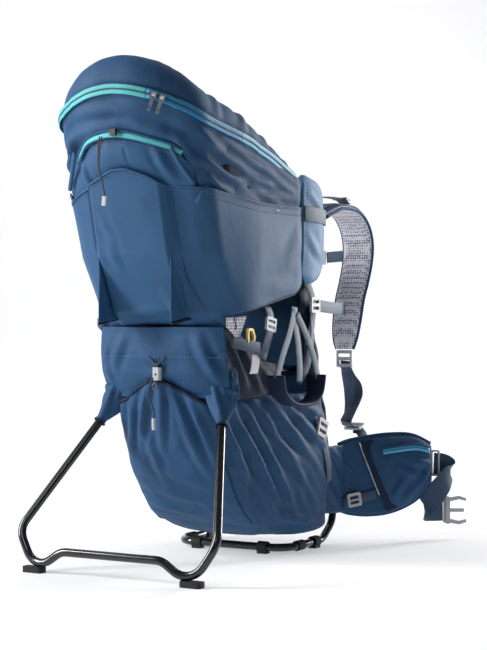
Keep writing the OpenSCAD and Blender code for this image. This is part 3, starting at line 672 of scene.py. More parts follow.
def side_pt(y, z, s=1, out=0.0):
    """A point on the cockpit's side face, s 1 for the right."""
    p = plan(z, -out)
    q = p[(p[:, 0] > 60) & (p[:, 1] < 60)]
    o = np.argsort(q[:, 1])
    return np.array([s * np.interp(y, q[o, 1], q[o, 0]), y, z])


def both(fn):
    """Builds the right-hand piece and the left, and gives the right-hand one."""
    right = fn(1, "right")
    fn(-1, "left")
    return right


def mir(pts, s):
    """Points as they are for s 1, mirrored to the left for s -1."""
    return np.asarray(pts, float) * [s, 1, 1]

# ---------------------------------------------------------------- cockpit wall
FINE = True
ROWS = 110 if FINE else 50
ts = np.linspace(0, 1, ROWS)
g = shell_grid(ts)
nrm = grid_normals(g, True)
OUT = -1 if (nrm[ROWS // 2, :, 0] * g[ROWS // 2, :, 0]).sum() < 0 else 1
nrm = nrm * OUT
# fullness between the seams
for s in (1, -1):
    g = press(g, nrm, [side_pt(-170, 618, s), side_pt(-10, 592, s)], 30, 4)
for s in (1, -1):
    # the seam at the rear corner, and the one beside the front column
    corner = [side_pt(-254, 440, s), side_pt(-262, 490, s), side_pt(-290, 578, s)]
    g = press(g, nrm, corner, 4, -2.2)
    front = [side_pt(6, z, s) for z in (446, 480, 520, 560, 592)]
    g = press(g, nrm, front, 3, -1.5)
    # gathers below the rim, drawn towards the rear corner
    for (y0, z0), (y1, z1), w, h in (
        ((-285, 640), (-150, 612), 9, 4.5), ((-292, 622), (-180, 590), 8, 4.0), ((-240, 650), (-90, 610), 8, 3.2),
        ((-200, 605), (-60, 596), 8, 3.0), ((-285, 600), (-215, 578), 7, 3.6), ((-120, 618), (-10, 582), 7, 2.6),
        ((-300, 660), (-235, 640), 8, 3.4), ((-90, 585), (0, 578), 6, 2.0), ((-150, 585), (-70, 575), 6, 2.2),
    ):
        mid = side_pt((y0 + y1) / 2, (z0 + z1) / 2 - 4, s)
        g = fold(g, nrm, [side_pt(y0, z0, s), mid, side_pt(y1, z1, s)], w, h)
for (x0, z0), (x1, z1), w, h in (
    ((-112, 655), (40, 672), 10, 3.2), ((-60, 690), (60, 688), 9, 2.4), ((-118, 640), (-70, 665), 8, 3.4), ((30, 668),
        (112, 640), 9, 3.4),
    ((-118, 610), (-92, 655), 7, 3.5), ((92, 650), (120, 600), 7, 3.5), ((-116, 560), (-108, 610), 6,
        2.8), ((104, 622), (122, 560), 7, 3.2),
):
    g = fold(g, nrm, [rear_pt(x0, z0), rear_pt((x0 + x1) / 2, (z0 + z1) / 2 + 3), rear_pt(x1, z1)], w, h)
if FINE:
    g = rumple(g, nrm, 60, 1.1, (1, 1, 1.6), 3.1, False)
cockpit = shell_solid("cockpit_wall", g, "navy", 5.5, True, 1, slot="navy")
if OUT < 0:
    cockpit.data.flip_normals()
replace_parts(cockpit, "cockpit")

# the lining inside, a little clear of the wall
li = shell_grid(np.linspace(0.02, 0.985, 24), 6.3)
shell_solid("cockpit_lining", li, "lining", 1.2, True, 1, slot="navy_dark")

# side layer: a second panel from the rear corner to the front column, with a hem on top
HEM = ((-300, 579), (-238, 572), (-175, 566), (-147, 563), (-70, 563), (12, 564))


def side_layer(s, tag):
    ys = np.r_[np.linspace(-284, -20, 70 if FINE else 36), np.linspace(-16, 9, 7)]
    rows = []
    for t in np.linspace(0, 1, 60 if FINE else 26):
        row = []
        for y in ys:
            lo, hi = table(y, LOW) + 1, table(y, HEM)
            z = lo + (hi - lo) * t
            off = 4.6 + 3.0 * math.sin(math.pi * t) * (1 - abs(y + 140) / 170)
            row.append(side_pt(y, z, s, off))
        rows.append(row)
    a = np.array(rows)
    n, k = facing(a, 10, 20, (s, 0, 0))
    for (y0, z0), (y1, z1), w, h in (((-268, 470), (-240, 400), 10, 2.0), ((-120, 430), (-20, 440), 12, 1.5),
            ((-60, 470), (4, 520), 16, 1.6)):
        a = fold(a, n, [side_pt(y0, z0, s), side_pt(y1, z1, s)], w, h)
    a = press(a, n, [side_pt(y, table(y, HEM) - 11, s, 4) for y in np.linspace(-284, 9, 24)], 1.8, -0.9)
    if FINE:
        a = rumple(a, n, 75, 1.0, (1, 1, 1), 9.0 * s, False)
    o = shell_solid("side_layer_" + tag, a, "panel", 1.4 * k, slot="navy")
    hem = [side_pt(y, table(y, HEM), s, 4.2) for y in np.linspace(-284, 9, 40)]
    sweep("side_hem_" + tag, resample(hem, 5), [s, 0, 0], flat(3.4, 2.2), "panel", slot="navy")
    for d in (3.5, 12.5):
        line = [side_pt(y, table(y, HEM) - d, s, 5.2) for y in np.linspace(-282, 8, 60)]
        stitches("side_stitch_%s_%d" % (tag, d), line, [s, 0, 0], slot="navy")
    # a small bar tack on the hem
    bt = [side_pt(-92, 556, s, 5.6), side_pt(-80, 555.5, s, 5.6)]
    sweep("side_tack_" + tag, resample(bt, 3), [s, 0, 0], flat(1.8, 1.0), "piping", slot="navy")
    # the hem at the bottom
    low = [side_pt(y, table(y, LOW) + 1, s, 3.4) for y in np.linspace(-284, 9, 50)]
    sweep("side_low_hem_" + tag, resample(low, 5), [s, 0, 0], flat(5, 3), "dark", slot="navy")
    return o


both(side_layer)

# ---------------------------------------------------------------- collar, the padded roll above the zip


def rim_line(e, dz=0.0):
    """The rim from one front corner round the rear to the other, e inside the outer face."""
    top = shell_grid([1.0], e)[0] + [0, 0, dz]
    start = int(np.argmin(np.abs(P600[:, 0] - 131) + np.abs(P600[:, 1] - 0)))
    end = int(np.argmin(np.abs(P600[:, 0] + 131) + np.abs(P600[:, 1] - 0)))
    idx = [i % N for i in range(start, start - N, -1)]
    idx = idx[: idx.index(end) + 1]
    return top[idx]


rim = resample(rim_line(4, 0), 5)
COL_H = ((-300, 46), (-240, 44), (-150, 34), (-60, 20), (0, 12))
_, s_, _ = path_frames(rim, (0, 0, 1))
inward = s_ * np.sign(np.sum(s_ * (np.array([0, -150, 0]) - rim), axis=1, keepdims=True))
sec = np.array([(0, 0), (-1.5, 0.18), (0.5, 0.42), (5, 0.68), (12, 0.88), (20, 0.99), (28, 0.99), (34, 0.86),
    (36, 0.6), (33, 0.32), (27, 0.08), (18, -0.02), (8, -0.03)])
hh = table(rim[:, 1], COL_H)
wk = np.interp(hh, [12, 46], [0.62, 1.0])
cg = rim[:, None] + inward[:, None] * (sec[None, :, :1] * wk[:, None, None]) + np.array([0, 0, 1.0]) * (sec[None, :,
    1:] * hh[:, None, None])
# finer round the section
fine = np.array([catmull(np.vstack([r, r[:1]]), 3)[:-1] for r in cg])
cn = grid_normals(fine, True)
cen = fine.mean(1, keepdims=True)
sg = np.sign(np.sum(cn * (fine - cen)))
cn = cn * sg
for (y, s, w, h) in ((-40, 1, 8, 1.6), (-110, 1, 9, 2.0), (-180, 1, 10, 2.4), (-250, 1, 10, 2.2), (-250, -1, 10, 2.2),
        (-180, -1, 10, 2.4), (-110, -1, 9, 2.0), (-40, -1, 8, 1.6)):
    base = rim[np.argmin(np.abs(rim[:, 1] - y) + 1000 * (np.sign(rim[:, 0]) != s))]
    a = base + [0, 0, 6]
    b = base + np.array([-s * 26, 22, table(y, COL_H) * 0.9])
    fine = fold(fine, cn, [a, (a + b) / 2 + [0, 0, 4], b], w, h)
fine = rumple(fine, cn, 45, 1.3, (1, 1, 1), 5.5, False)
m_, c_ = fine.shape[:2]
faces = tube_faces(m_, c_)
collar = make("collar_roll", fine.reshape(-1, 3), faces, "navy", slot="navy")
subdivide(collar)
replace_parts(collar, "collar")

# ---------------------------------------------------------------- rim zip: tape, teeth, piping
zp = resample(rim_line(-1.6, -8), 4)
ctr = np.array([0, -150, 0])
flat_out = zp - ctr
flat_out[:, 2] = 0
tt = unit(np.gradient(zp, axis=0))
q_ = np.cross(tt, [0, 0, 1.0])
out_dir = unit(q_) * np.sign(np.sum(q_ * flat_out, axis=1, keepdims=True))
zx, zy = zp[:, 0], zp[:, 1]


def zip_run(name, sel, mat):
    i = np.nonzero(sel)[0]
    i = np.arange(i[0], i[-1] + 1)
    for dz, tag in ((4.0, "up"), (-4.0, "low")):
        line = zp[i] + [0, 0, dz]
        sweep(name + "_tape_" + tag, line, out_dir[i], flat(6.6, 1.6), mat, slot="teal")


cut_a = int(np.argmin(np.abs(zx - 62) + 1000 * (zy > -250)))
cut_b = int(np.argmin(np.abs(zy + 190) + 1000 * (zx < 0)))
order = sorted([cut_a, cut_b])
zip_run("rim_zip_cyan", np.arange(len(zp)) <= order[0], "cyan")
zip_run("rim_zip_blue", (np.arange(len(zp)) >= order[0]) & (np.arange(len(zp)) <= order[1]), "blue")
zip_run("rim_zip_teal", np.arange(len(zp)) >= order[1], "teal")
coil = sweep("rim_zip_coil", zp + out_dir * 0.9, out_dir, circle(1.1, 8), "web_dark", slot="teal")
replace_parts(coil, "rim_zip")
# binding between the collar and the zip
bind = resample(rim_line(-0.5, -0.5), 5)
sweep("collar_piping", bind, (0, 0, 1), circle(1.7, 10), "navy", slot="navy")

# ---------------------------------------------------------------- rear: upper pocket, zip, peaked panel, side gussets
PEAK = ((-122, 560), (-95, 574), (-56, 588), (-14, 605), (11, 606), (45, 594), (70, 580), (98, 577), (122, 577))
ARCH = ((-84, 622), (-73, 634), (-53, 649), (-18, 656), (16, 654), (51, 645), (84, 634), (100, 625))


def rear_patch(name, x0, x1, nx, low, high, off, mat, nz=60, thick=1.5, folds=(), seams=(), rum=0.6, slot="navy"):
    """A sewn panel on the cockpit's rear face, between two edge lines."""
    xs = np.linspace(x0, x1, nx)
    rows = []
    for t in np.linspace(0, 1, nz):
        rows.append([rear_pt(x, low(x) + (high(x) - low(x)) * t, off(x, t)) for x in xs])
    a = np.array(rows)
    n = grid_normals(a)
    if n[nz // 2, nx // 2, 1] > 0:
        n, k = -n, -1
    else:
        k = 1
    for line, w, h in folds:
        a = fold(a, n, line, w, h)
    for line, w, h in seams:
        a = press(a, n, line, w, h)
    if FINE and rum:
        a = rumple(a, n, 55, rum, (1, 1, 1), x0 * 0.1, False)
    return shell_solid(name, a, mat, thick * k, slot=slot)


def low_edge(x):
    return 372 + 3 * math.cos(x / 40)


def pocket_off(x, t):
    edge = min(1, max(0, (74 - abs(x)) / 14))
    flat_ = 6 + 32 * min(1, t / 0.10) ** 0.6 * (1 - 0.62 * t)
    wing = 4 + 18 * min(1, t / 0.10) ** 0.6 * (1 - 0.85 * t) * min(1, max(0, (120 - abs(x)) / 46))
    return wing + (flat_ - wing) * edge * edge * (3 - 2 * edge)


seam_r = [rear_pt(x, z, pocket_off(x, (z - 372) / 210)) for x,
    z in ((72, 578), (74, 510), (74, 445), (84, 412), (100, 376))]
seam_l = [rear_pt(x, z, pocket_off(x, (z - 372) / 210)) for x,
    z in ((-72, 578), (-74, 510), (-74, 445), (-84, 412), (-100, 376))]
big = rear_patch("rear_pocket_panel", -122, 122, 150 if FINE else 70, low_edge, lambda x: table(x, PEAK), pocket_off,
    "panel", 110 if FINE else 50, 2.0,
    folds=[([rear_pt(-52, 548, 34), rear_pt(-44, 520, 34), rear_pt(-30, 500, 34)], 8, 1.6),
        ([rear_pt(-40, 500, 34), rear_pt(-34, 470, 36), rear_pt(-26, 450, 36)], 9, 1.3),
           ([rear_pt(40, 420, 36), rear_pt(56, 400, 32), rear_pt(70, 384, 28)], 9,
               1.8), ([rear_pt(-60, 400, 30), rear_pt(-20, 392, 34), rear_pt(30, 396, 34)], 8, 1.2)],
    seams=[(seam_r, 2.4, -2.4), (seam_l, 2.4, -2.4)])
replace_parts(big, "rear_pocket")
top = [rear_pt(x, table(x, PEAK), pocket_off(x, 1.0) + 0.6) for x in np.linspace(-121, 121, 70)]
sweep("rear_pocket_hem", resample(top, 4), (0, -1, 0.2), flat(3.6, 2.4), "panel", slot="navy")
stitches("rear_pocket_stitch", [rear_pt(x, table(x, PEAK) - 4.5, pocket_off(x, 0.98) + 1.2) for x in np.linspace(-119,
    119, 80)], (0, -1, 0.2), slot="navy")
for tag, sm, s in (("right", seam_r, 1), ("left", seam_l, -1)):
    line = resample(catmull(sm, 6), 2) + np.array([s * 3.0, -0.4, 0])
    stitches("rear_seam_stitch_" + tag, line, (s * 0.35, -0.93, 0.1), "thread_dark", slot="navy")
bot = [rear_pt(x, low_edge(x), pocket_off(x, 0.0) + 0.4) for x in np.linspace(-121, 121, 50)]
sweep("rear_pocket_foot", resample(bot, 5), (0, -1, 0), flat(4.5, 3), "dark", slot="navy")

# the panel above the big pocket, with the arched zip
up = rear_patch("upper_pocket_panel", -104, 112, 90 if FINE else 44, lambda x: table(x, PEAK) - 8,
    lambda x: table(x, ((-104, 606),) + ARCH + ((112, 612),)) - 5,
    lambda x, t: 3.0 + 9 * math.sin(math.pi * min(1, 0.15 + 0.85 * t)) * max(0, 1 - (x / 120) ** 2), "panel", 36, 1.4,
    folds=[([rear_pt(60, 640, 8), rear_pt(70, 612, 8), rear_pt(84, 585, 6)], 7, 2.4),
        ([rear_pt(-80, 625, 8), rear_pt(-72, 600, 8), rear_pt(-64, 585, 8)], 6, 2.2)],
    seams=[([rear_pt(11, 645, 10), rear_pt(14, 626, 11), rear_pt(18, 606, 9)], 2, -1.6)])
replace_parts(up, "upper_pocket")
arch_line = catmull([rear_pt(x, z, 4.2) for x, z in ARCH], 10)
arch_line = resample(arch_line, 3)
z1 = sweep("pocket_zip_tape", arch_line + [0, -0.6, 1.2], (0, -1, 0.25), flat(9.5, 1.8), "teal", slot="teal")
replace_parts(z1, "pocket_zip")
sweep("pocket_zip_cover", arch_line + [0, -1.8, 6.4], (0, -1, 0.3), flat(4.0, 3.0), "navy", slot="navy")
sweep("pocket_zip_low", arch_line + [0, -1.4, -3.8], (0, -1, 0.2), flat(3.0, 2.2), "panel", slot="navy")
stitches("pocket_zip_stitch", arch_line + [0, -2.4, -7.5], (0, -1, 0.2), "thread", slot="navy")
# corner gussets beside the zip
for s, tag in ((1, "right"), (-1, "left")):
    a = [rear_pt(s * 86, 636, 7), rear_pt(s * 96, 612, 9), rear_pt(s * 112, 582, 8)]
    sweep("gusset_fold_" + tag, resample(catmull(a, 8), 4), (0, -1, 0), flat(7, 4), "panel", slot="navy")

# finishes of the CAD's own nodes
FINISH = {
    "steel": ("inner_zip_slider", "inner_zip_pull", "outer_zip_slider", "outer_zip_pull", "hinge_brackets",
        "hinge_pins"),
    "tube": ("main_frame", "top_crossbar", "seat_frame", "kickstand"),
    "rubber": ("base_feet", "kickstand_feet", "base_straps"),
    "black_p": ("pocket_slider", "harness_buckle"),
    "grey": ("cord_lock_body", "pull_tip", "side_buckles", "strap_locks", "sternum_buckle", "right_hip_buckle",
        "left_hip_buckle"),
    "web_dark": ("cord_lock_button",),
    "red": ("harness_button",),
    "yellow": ("side_rings",),
}
for finish, names in FINISH.items():
    for node in names:
        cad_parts[node].data.materials.clear()
        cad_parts[node].data.materials.append(M[finish])

# ---------------------------------------------------------------- rear flap and the stand's fabric shrouds


def flap_pt(x, z, off=0.0):
    y = table(z, ((268, -200), (300, -214), (330, -219), (372, -222))) + (abs(x) / 112) ** 4 * 14
    return np.array([x, y - off, z])


rows = [[flap_pt(x * (1 + 0.04 * math.sin(3 * t)), 262 + (372 - 262) * t,
    2 + 6 * math.sin(math.pi * min(1, 0.1 + t)) ** 0.8 * (1 - (x / 125) ** 4)) for x in np.linspace(-112, 112, 100)]
        for t in np.linspace(0, 1, 60)]
a = np.array(rows)
n, k = facing(a, 20, 50, (0, -1, 0))
for x0, z0, x1, z1, w, h in ((-60, 360, -90, 300, 9, 2.2), (70, 362, 96, 296, 9, 2.4), (-20, 300, 24, 296, 9, 1.6),
        (84, 330, 108, 280, 7, 2.4), (-104, 340, -96, 280, 7, 2.0), (-40, 330, 50, 334, 12, 1.2)):
    a = fold(a, n, [flap_pt(x0, z0, 5), flap_pt((x0 + x1) / 2, (z0 + z1) / 2, 5), flap_pt(x1, z1, 5)], w, h)
a = press(a, n, [flap_pt(x, 330, 6) for x in (-112, -40, 40, 112)], 2.2, -1.6)
if FINE:
    a = rumple(a, n, 50, 0.9, (1, 1, 1), 1.7, False)
flap = shell_solid("rear_flap_cloth", a, "navy", 2.0 * k, slot="navy")
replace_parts(flap, "rear_flap")
stitches("flap_stitch", [flap_pt(x, 326, 8.6) for x in np.linspace(-108, 108, 60)], (0, -1, 0), slot="navy")


def shroud(s, tag):
    """The cloth cap over a leg of the stand; the cap itself is left unattached, and only its hem is put on the stand.
    """
    piv, knee = np.array([88, -171.5, 282]), np.array([177, -336, 62])
    d = unit(knee - piv)
    pts = [piv - d * 34 + [4, -10, 12], piv - d * 12 + [4, -6, 4], piv + d * 10, piv + d * 30, piv + d * 46,
        piv + d * 58, piv + d * 70, piv + d * 78]
    rr = [14, 23, 25, 23, 18.5, 13, 9.6, 8.6]
    path = resample(catmull(np.c_[mir(pts, s), rr], 8), 2.5)
    pr, r = path[:, :3], path[:, 3]
    t, sd, nn = path_frames(pr, (s * 0.6, -0.2, 0.8))
    c = 48
    ang = np.arange(c) * 2 * np.pi / c
    g = pr[:, None] + (sd[:, None] * np.cos(ang)[None, :, None] + nn[:, None] * np.sin(ang)[None, :, None]) * r[:,
        None, None]
    gn = unit(g - pr[:, None])
    m = len(pr)
    for i in range(7):
        j = int((i + 0.5) * c / 7) + (2 if i % 2 else -1)
        j2 = (j + 5) % c
        line = [g[int(m * 0.15), j % c], g[int(m * 0.45), (j + 2) % c], g[int(m * 0.86), j2]]
        g = fold(g, gn, line, 5.5, 2.4 if i % 2 else 3.2)
    for q in (0.3, 0.52):
        i = int(m * q)
        g = fold(g, gn, [g[i, 4], g[i + 2, 14], g[i - 1, 24]], 4.5, 2.0)
    faces = tube_faces(m, c)
    o = make("stand_shroud_" + tag, g.reshape(-1, 3), faces, "navy", body=None, slot="navy_dark")
    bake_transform(o)
    neck = [pr[-1] + (sd[-1] * math.cos(x) + nn[-1] * math.sin(x)) * 8.8 for x in np.linspace(0, 2 * math.pi,
        33)[:-1]]
    n2 = np.array(neck + neck[:1])
    sweep("shroud_hem_" + tag, n2, -t[-1] + 0.001, circle(1.5, 8), "dark", body="stand", slot="navy_dark", caps=False)
    return o


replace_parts(both(shroud), "kickstand_sleeves")

# ---------------------------------------------------------------- lower bag
BAG = ((33, -34), (40, -48), (47, -62), (75, -101), (105, -128), (155, -160), (245, -197), (268, -203))
BAG_W = ((33, 66), (60, 88), (155, 94), (240, 88), (268, 80))


def bag_plan(z, e=0.0):
    y, w = table(z, BAG) + e, table(z, BAG_W) - e
    f = stay_y(z) - 13 - e
    sx = 128 - e
    yk = max(y + 24, -112)
    c = np.array([(-w, y), (0, y - 7), (w, y), (w + 5, yk), (sx, 36), (sx - 2, min(f, 116) - 12), (84, min(f, 124)),
        (0, min(f, 124)), (-84, min(f, 124)), (-sx + 2, min(f, 116) - 12), (-sx, 36), (-w - 5, yk)])
    return rounded(c, 26, 8, 12)


def bag_pt(z, x=None, y=None, s=1, out=0.0):
    p = bag_plan(z, -out)
    if x is not None:
        q = p[p[:, 1] < table(z, BAG) + 30]
        o = np.argsort(q[:, 0])
        return np.array([x, np.interp(x, q[o, 0], q[o, 1]), z])
    q = p[(p[:, 0] > 60) & (p[:, 1] > table(z, BAG) + 12)]
    o = np.argsort(q[:, 1])
    return np.array([s * np.interp(y, q[o, 1], q[o, 0]), y, z])


zs = np.linspace(33, 262, 92 if FINE else 44)
g = np.array([np.c_[bag_plan(z, 14 * max(0, (46 - z) / 13) ** 1.6 + 5 * max(0, (z - 250) / 12) ** 2),
    np.full(len(bag_plan(z)), z)] for z in zs])
nrm = grid_normals(g, True)
if (nrm[30, :, 0] * g[30, :, 0]).sum() < 0:
    nrm = -nrm
for z, w, h in ((70, 45, 3), (120, 60, 5), (200, 50, 3)):
    for s in (1, -1):
        g = press(g, nrm, [bag_pt(z, y=-40, s=s), bag_pt(z, y=80, s=s)], w, h)
for s in (1, -1):
    for (y0, z0), (y1, z1), w, h in (
        ((-150, 250), (-40, 90), 9, 5.0), ((-120, 255), (10, 60), 8, 4.6), ((-90, 258), (60, 70), 8,
            4.2), ((-60, 258), (80, 120), 9, 3.6),
        ((-175, 235), (-110, 130), 8, 3.8), ((-30, 255), (90, 170), 8, 3.2), ((-40, 70), (90, 52), 9,
            3.4), ((-20, 46), (100, 44), 7, 2.6),
        ((-100, 140), (-30, 60), 7, 3.2), ((0, 256), (95, 220), 8, 2.8), ((-70, 200), (20, 150), 10, 2.4),
    ):
        g = fold(g, nrm, [bag_pt(z0, y=y0, s=s), bag_pt((z0 + z1) / 2 - 6, y=(y0 + y1) / 2 + 3, s=s),
            bag_pt(z1, y=y1, s=s)], w, h)
    g = press(g, nrm, [bag_pt(z, y=max(table(z, BAG) + 26, -112), s=s) for z in (58, 75, 105, 155, 200, 255)], 3,
        -2.0)
for (x0, z0), (x1, z1), w, h in (((-70, 80), (60, 70), 9, 2.6), ((-80, 110), (-20, 100), 8, 2.0),
        ((10, 62), (80, 84), 8, 2.6), ((-84, 250), (-70, 180), 8, 2.4), ((84, 250), (74, 170), 8, 2.6)):
    g = fold(g, nrm, [bag_pt(z0, x=x0), bag_pt((z0 + z1) / 2, x=(x0 + x1) / 2), bag_pt(z1, x=x1)], w, h)
if FINE:
    g = rumple(g, nrm, 42, 2.0, (1, 1, 0.8), 4.4, True)
m_, c_ = g.shape[:2]
faces = tube_faces(m_, c_)
bag = make("lower_bag_cloth", g.reshape(-1, 3), faces, "navy", slot="navy")
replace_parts(bag, "lower_bag")
for s, tag in ((1, "right"), (-1, "left")):
    line = [bag_pt(z, y=max(table(z, BAG) + 26, -112) + 4, s=s, out=0.4) for z in np.linspace(60, 250, 60)]
    stitches("bag_stitch_" + tag, line, (s, -0.2, 0), "thread_dark", slot="navy")

# the stretch pocket on the bag's rear, with its gathered hem
HEMP = ((-84, 252), (-60, 262), (-36, 278), (-14, 289), (10, 288), (34, 277), (60, 263), (84, 252))


def stretch_off(x, t):
    return 4 + 13 * math.sin(math.pi * min(1, 0.12 + 0.8 * t)) * max(0,
        1 - (x / 92) ** 4) + 1.4 * math.sin(x / 4.3 + 2 * math.sin(x / 17)) * t ** 5


rows = []
for t in np.linspace(0, 1, 90 if FINE else 40):
    row = []
    for x in np.linspace(-88, 88, 120 if FINE else 60):
        z = 58 + (table(x, HEMP) - 58) * t
        zz = min(z, 266)
        row.append(bag_pt(zz, x=x, out=stretch_off(x, t)) + [0, -(z - zz) * 0.3, z - zz])
    rows.append(row)
a = np.array(rows)
n, k = facing(a, 20, 40, (0, -1, 0))
for x0, z0, x1, z1, w, h in ((-20, 284, -50, 190, 7, 3.4), (4, 286, -8, 180, 7, 3.0), (20, 282, 50, 190, 7, 3.4),
        (-50, 268, -76, 170, 7, 3.0), (52, 266, 78, 160, 7, 3.2),
                             (-70, 120, 40, 96, 9, 2.6), (-30, 150, 70, 120, 9, 2.6), (-76, 90, -10, 76, 8, 2.4), (30,
                                 230, 66, 130, 8, 2.2), (-40, 220, -20, 120, 8, 1.8)):
    pick = lambda x, z: a.reshape(-1, 3)[np.argmin((a[..., 0].ravel() - x) ** 2 + (a[..., 2].ravel() - z) ** 2)]
    a = fold(a, n, [pick(x0, z0), pick((x0 + x1) / 2 + 2, (z0 + z1) / 2), pick(x1, z1)], w, h)
if FINE:
    a = rumple(a, n, 40, 1.6, (1, 1, 0.7), 7.7, True)
stretch = shell_solid("stretch_pocket", a, "navy", 1.6 * k, slot="navy")
hem = a[-1]
sweep("stretch_hem", resample(hem, 3), (0, -0.9, 0.3), flat(5.5, 3.4), "dark", slot="navy")
# painted shade: a near-black sheet across the pocket's mouth stands in for the shade inside the pocket
mouth = np.array([[p + [0, 6 + 6 * q, -14 * q] for p in hem[6:-6]] for q in (0, 1)])
shell_solid("stretch_mouth_shade", mouth, "pocket_mouth_shade", 1.0, slot="navy_dark")

# ---------------------------------------------------------------- cords, cord lock and pull
pull = [(-1, -370, 650), (-3, -372, 630), (-7, -367, 605), (-9, -355, 585), (-10, -347, 566)]
for dx, tag in ((-1.9, "a"), (1.9, "b")):
    pts = [(x + dx * (1 - 0.3 * i), y, z) for i, (x, y, z) in enumerate(pull)]
    path = resample(catmull(pts, 10), 2.0)
    c = sweep("pull_cord_" + tag, path, (1, 0, 0), circle(1.15, 10), "cord", body="pocket_zipper", slot="cord")
    if tag == "a":
        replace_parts(c, "pull_cord")
draw = [(2, -236, 294), (-2, -239, 282), (-6, -238, 268), (-1, -236, 254), (3, -235, 240), (2, -234, 230)]
path = resample(catmull(draw, 10), 2.0)
dc = sweep("drawcord_tail", path, (1, 0, 0), circle(1.4, 10), "cord", slot="cord")
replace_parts(dc, "drawcord")
for s, tag in ((1, "right"), (-1, "left")):
    v = [flap_pt(3 + s * 15, 326, 9), flap_pt(3 + s * 8, 320, 10.5), (3 + s * 3, -229, 314), (3 + s * 1.5, -228, 309)]
    tube("drawcord_vee_" + tag, v, 1.4, "cord", up=(1, 0.1, 0), n=10, slot="cord")
kn = [(2, -234, 232), (2, -234, 222), (2.4, -233.6, 214)]
tube("drawcord_tip", kn, 3.2, "grey", up=(1, 0, 0), n=14, slot="plastic_grey")
eye = np.array([3, -231, 281])
sweep("drawcord_eyelet", np.array([eye + [5 * math.cos(x), 0, 5 * math.sin(x)] for x in np.linspace(0, 2 * math.pi,
    25)]), (0, -1, 0), circle(1.5, 8), "grey_dark", caps=False, slot="plastic_grey")

# ---------------------------------------------------------------- front column beside the cockpit
COL_R = ((438, 34), (450, 66), (464, 86), (490, 104), (520, 110), (570, 106), (596, 90), (612, 66), (620, 34))
COL_L = ((438, 26), (460, 6), (490, 10), (595, 12), (620, 14))


def column(s, tag):
    rows = []
    for t in np.linspace(0, 1, 60):
        z = 438 + 182 * t
        lo, hi = table(z, COL_L), table(z, COL_R)
        row = []
        for u in np.linspace(0, 1, 34):
            y = lo + (hi - lo) * u
            x = 131.5 + 3.0 * math.sin(math.pi * min(1, u * 1.1)) - 14 * max(0, (y - 62) / 50) ** 2 - 9 * max(0,
                (u - 0.88) / 0.12) ** 2
            x -= 7 * max(0, (z - 600) / 20) ** 2 + 6 * max(0, (456 - z) / 18) ** 2
            row.append((s * x, y, z))
        rows.append(row)
    a = np.array(rows)
    n, k = facing(a, 30, 10, (s, 0, 0))
    a = fold(a, n, [(s * 133, 30, 588), (s * 132, 62, 572), (s * 126, 96, 560)], 7, 1.5)
    a = fold(a, n, [(s * 133, 24, 520), (s * 132, 50, 500), (s * 122, 90, 476)], 9, 1.3)
    o = shell_solid("front_column_" + tag, a, "light", 9 * k, slot="navy")
    webbing("column_webbing_" + tag, [(s * 133.8, 10, 556), (s * 136.4, 40, 556), (s * 133, 80, 555),
        (s * 124, 104, 554), (s * 112, 112, 553)], (s, 0.25, 0), 25)
    stitches("column_stitch_" + tag, [(s * 135.4, 17, z) for z in np.linspace(470, 608, 50)], (s, 0, 0),
        "thread_dark", slot="navy")
    # edge binding down the wearer's side
    line = [(s * (131.5 - 14 * max(0, (table(z, COL_R) - 62) / 50) ** 2 - 9 - 4), table(z, COL_R) - 1,
        z) for z in np.linspace(446, 612, 40)]
    tube("column_binding_" + tag, resample(line, 8), 2.6, "navy", up=(0, 1, 0.1), n=10, k=3, slot="navy")
    return o


col = both(column)

# lower cheeks: dark cloth round the stays, from the column to the belt


def cheek_low(s, tag):
    rows = []
    for t in np.linspace(0, 1, 60):
        z = 200 + 250 * t
        y0 = table(z, ((200, 118), (300, 60), (380, 20), (450, 16)))
        y1 = stay_y(z) - 1
        row = []
        for u in np.linspace(0, 1, 26):
            y = y0 + (y1 - y0) * u
            x = 112 + table(z, ((200, 6), (300, 8), (400, 10),
                (450, 15))) * math.sin(math.pi * (0.25 + 0.7 * u)) + 1.5 * math.sin(z / 9 + 3 * u)
            row.append((s * x, y, z))
        rows.append(row)
    a = np.array(rows)
    n, k = facing(a, 30, 10, (s, 0, 0))
    for y0, z0, y1, z1 in ((60, 430, 30, 330), (80, 400, 60, 290), (40, 400, 90, 260), (90, 300, 110, 220)):
        a = fold(a, n, [(s * 120, y0, z0), (s * 121, (y0 + y1) / 2, (z0 + z1) / 2), (s * 120, y1, z1)], 8, 2.6)
    return shell_solid("stay_cloth_" + tag, a, "dark", 2.5 * k, slot="navy")


both(cheek_low)
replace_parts(col, "side_cheeks")

# seat sides: the cloth that carries the seat, behind the leg openings; its dark colour is partly the cloth's own and
# partly painted shade of the openings


def seat_side(s, tag):
    def point(u, t):
        y = -196 + 190 * u
        top = table(y, ((-196, 372), (-150, 372), (-110, 345), (-60, 318), (-6, 312)))
        return (s * (100 + 7 * math.sin(math.pi * t) - 6 * u), y, 258 + (top - 258) * t)

    a = surface(point, np.linspace(0, 1, 50), np.linspace(0, 1, 46))
    n, k = facing(a, 30, 10, (s, 0, 0))
    for y0, z0, y1, z1 in ((-180, 350, -120, 270), (-160, 362, -80, 280), (-110, 330, -30, 272)):
        a = fold(a, n, [(s * 104, y0, z0), (s * 105, (y0 + y1) / 2, (z0 + z1) / 2), (s * 102, y1, z1)], 9, 3)
    # the dark colour here is partly painted shade of the leg openings behind
    return shell_solid("seat_side_" + tag, a, "dark", 2.0 * k, slot="navy_dark")


both(seat_side)


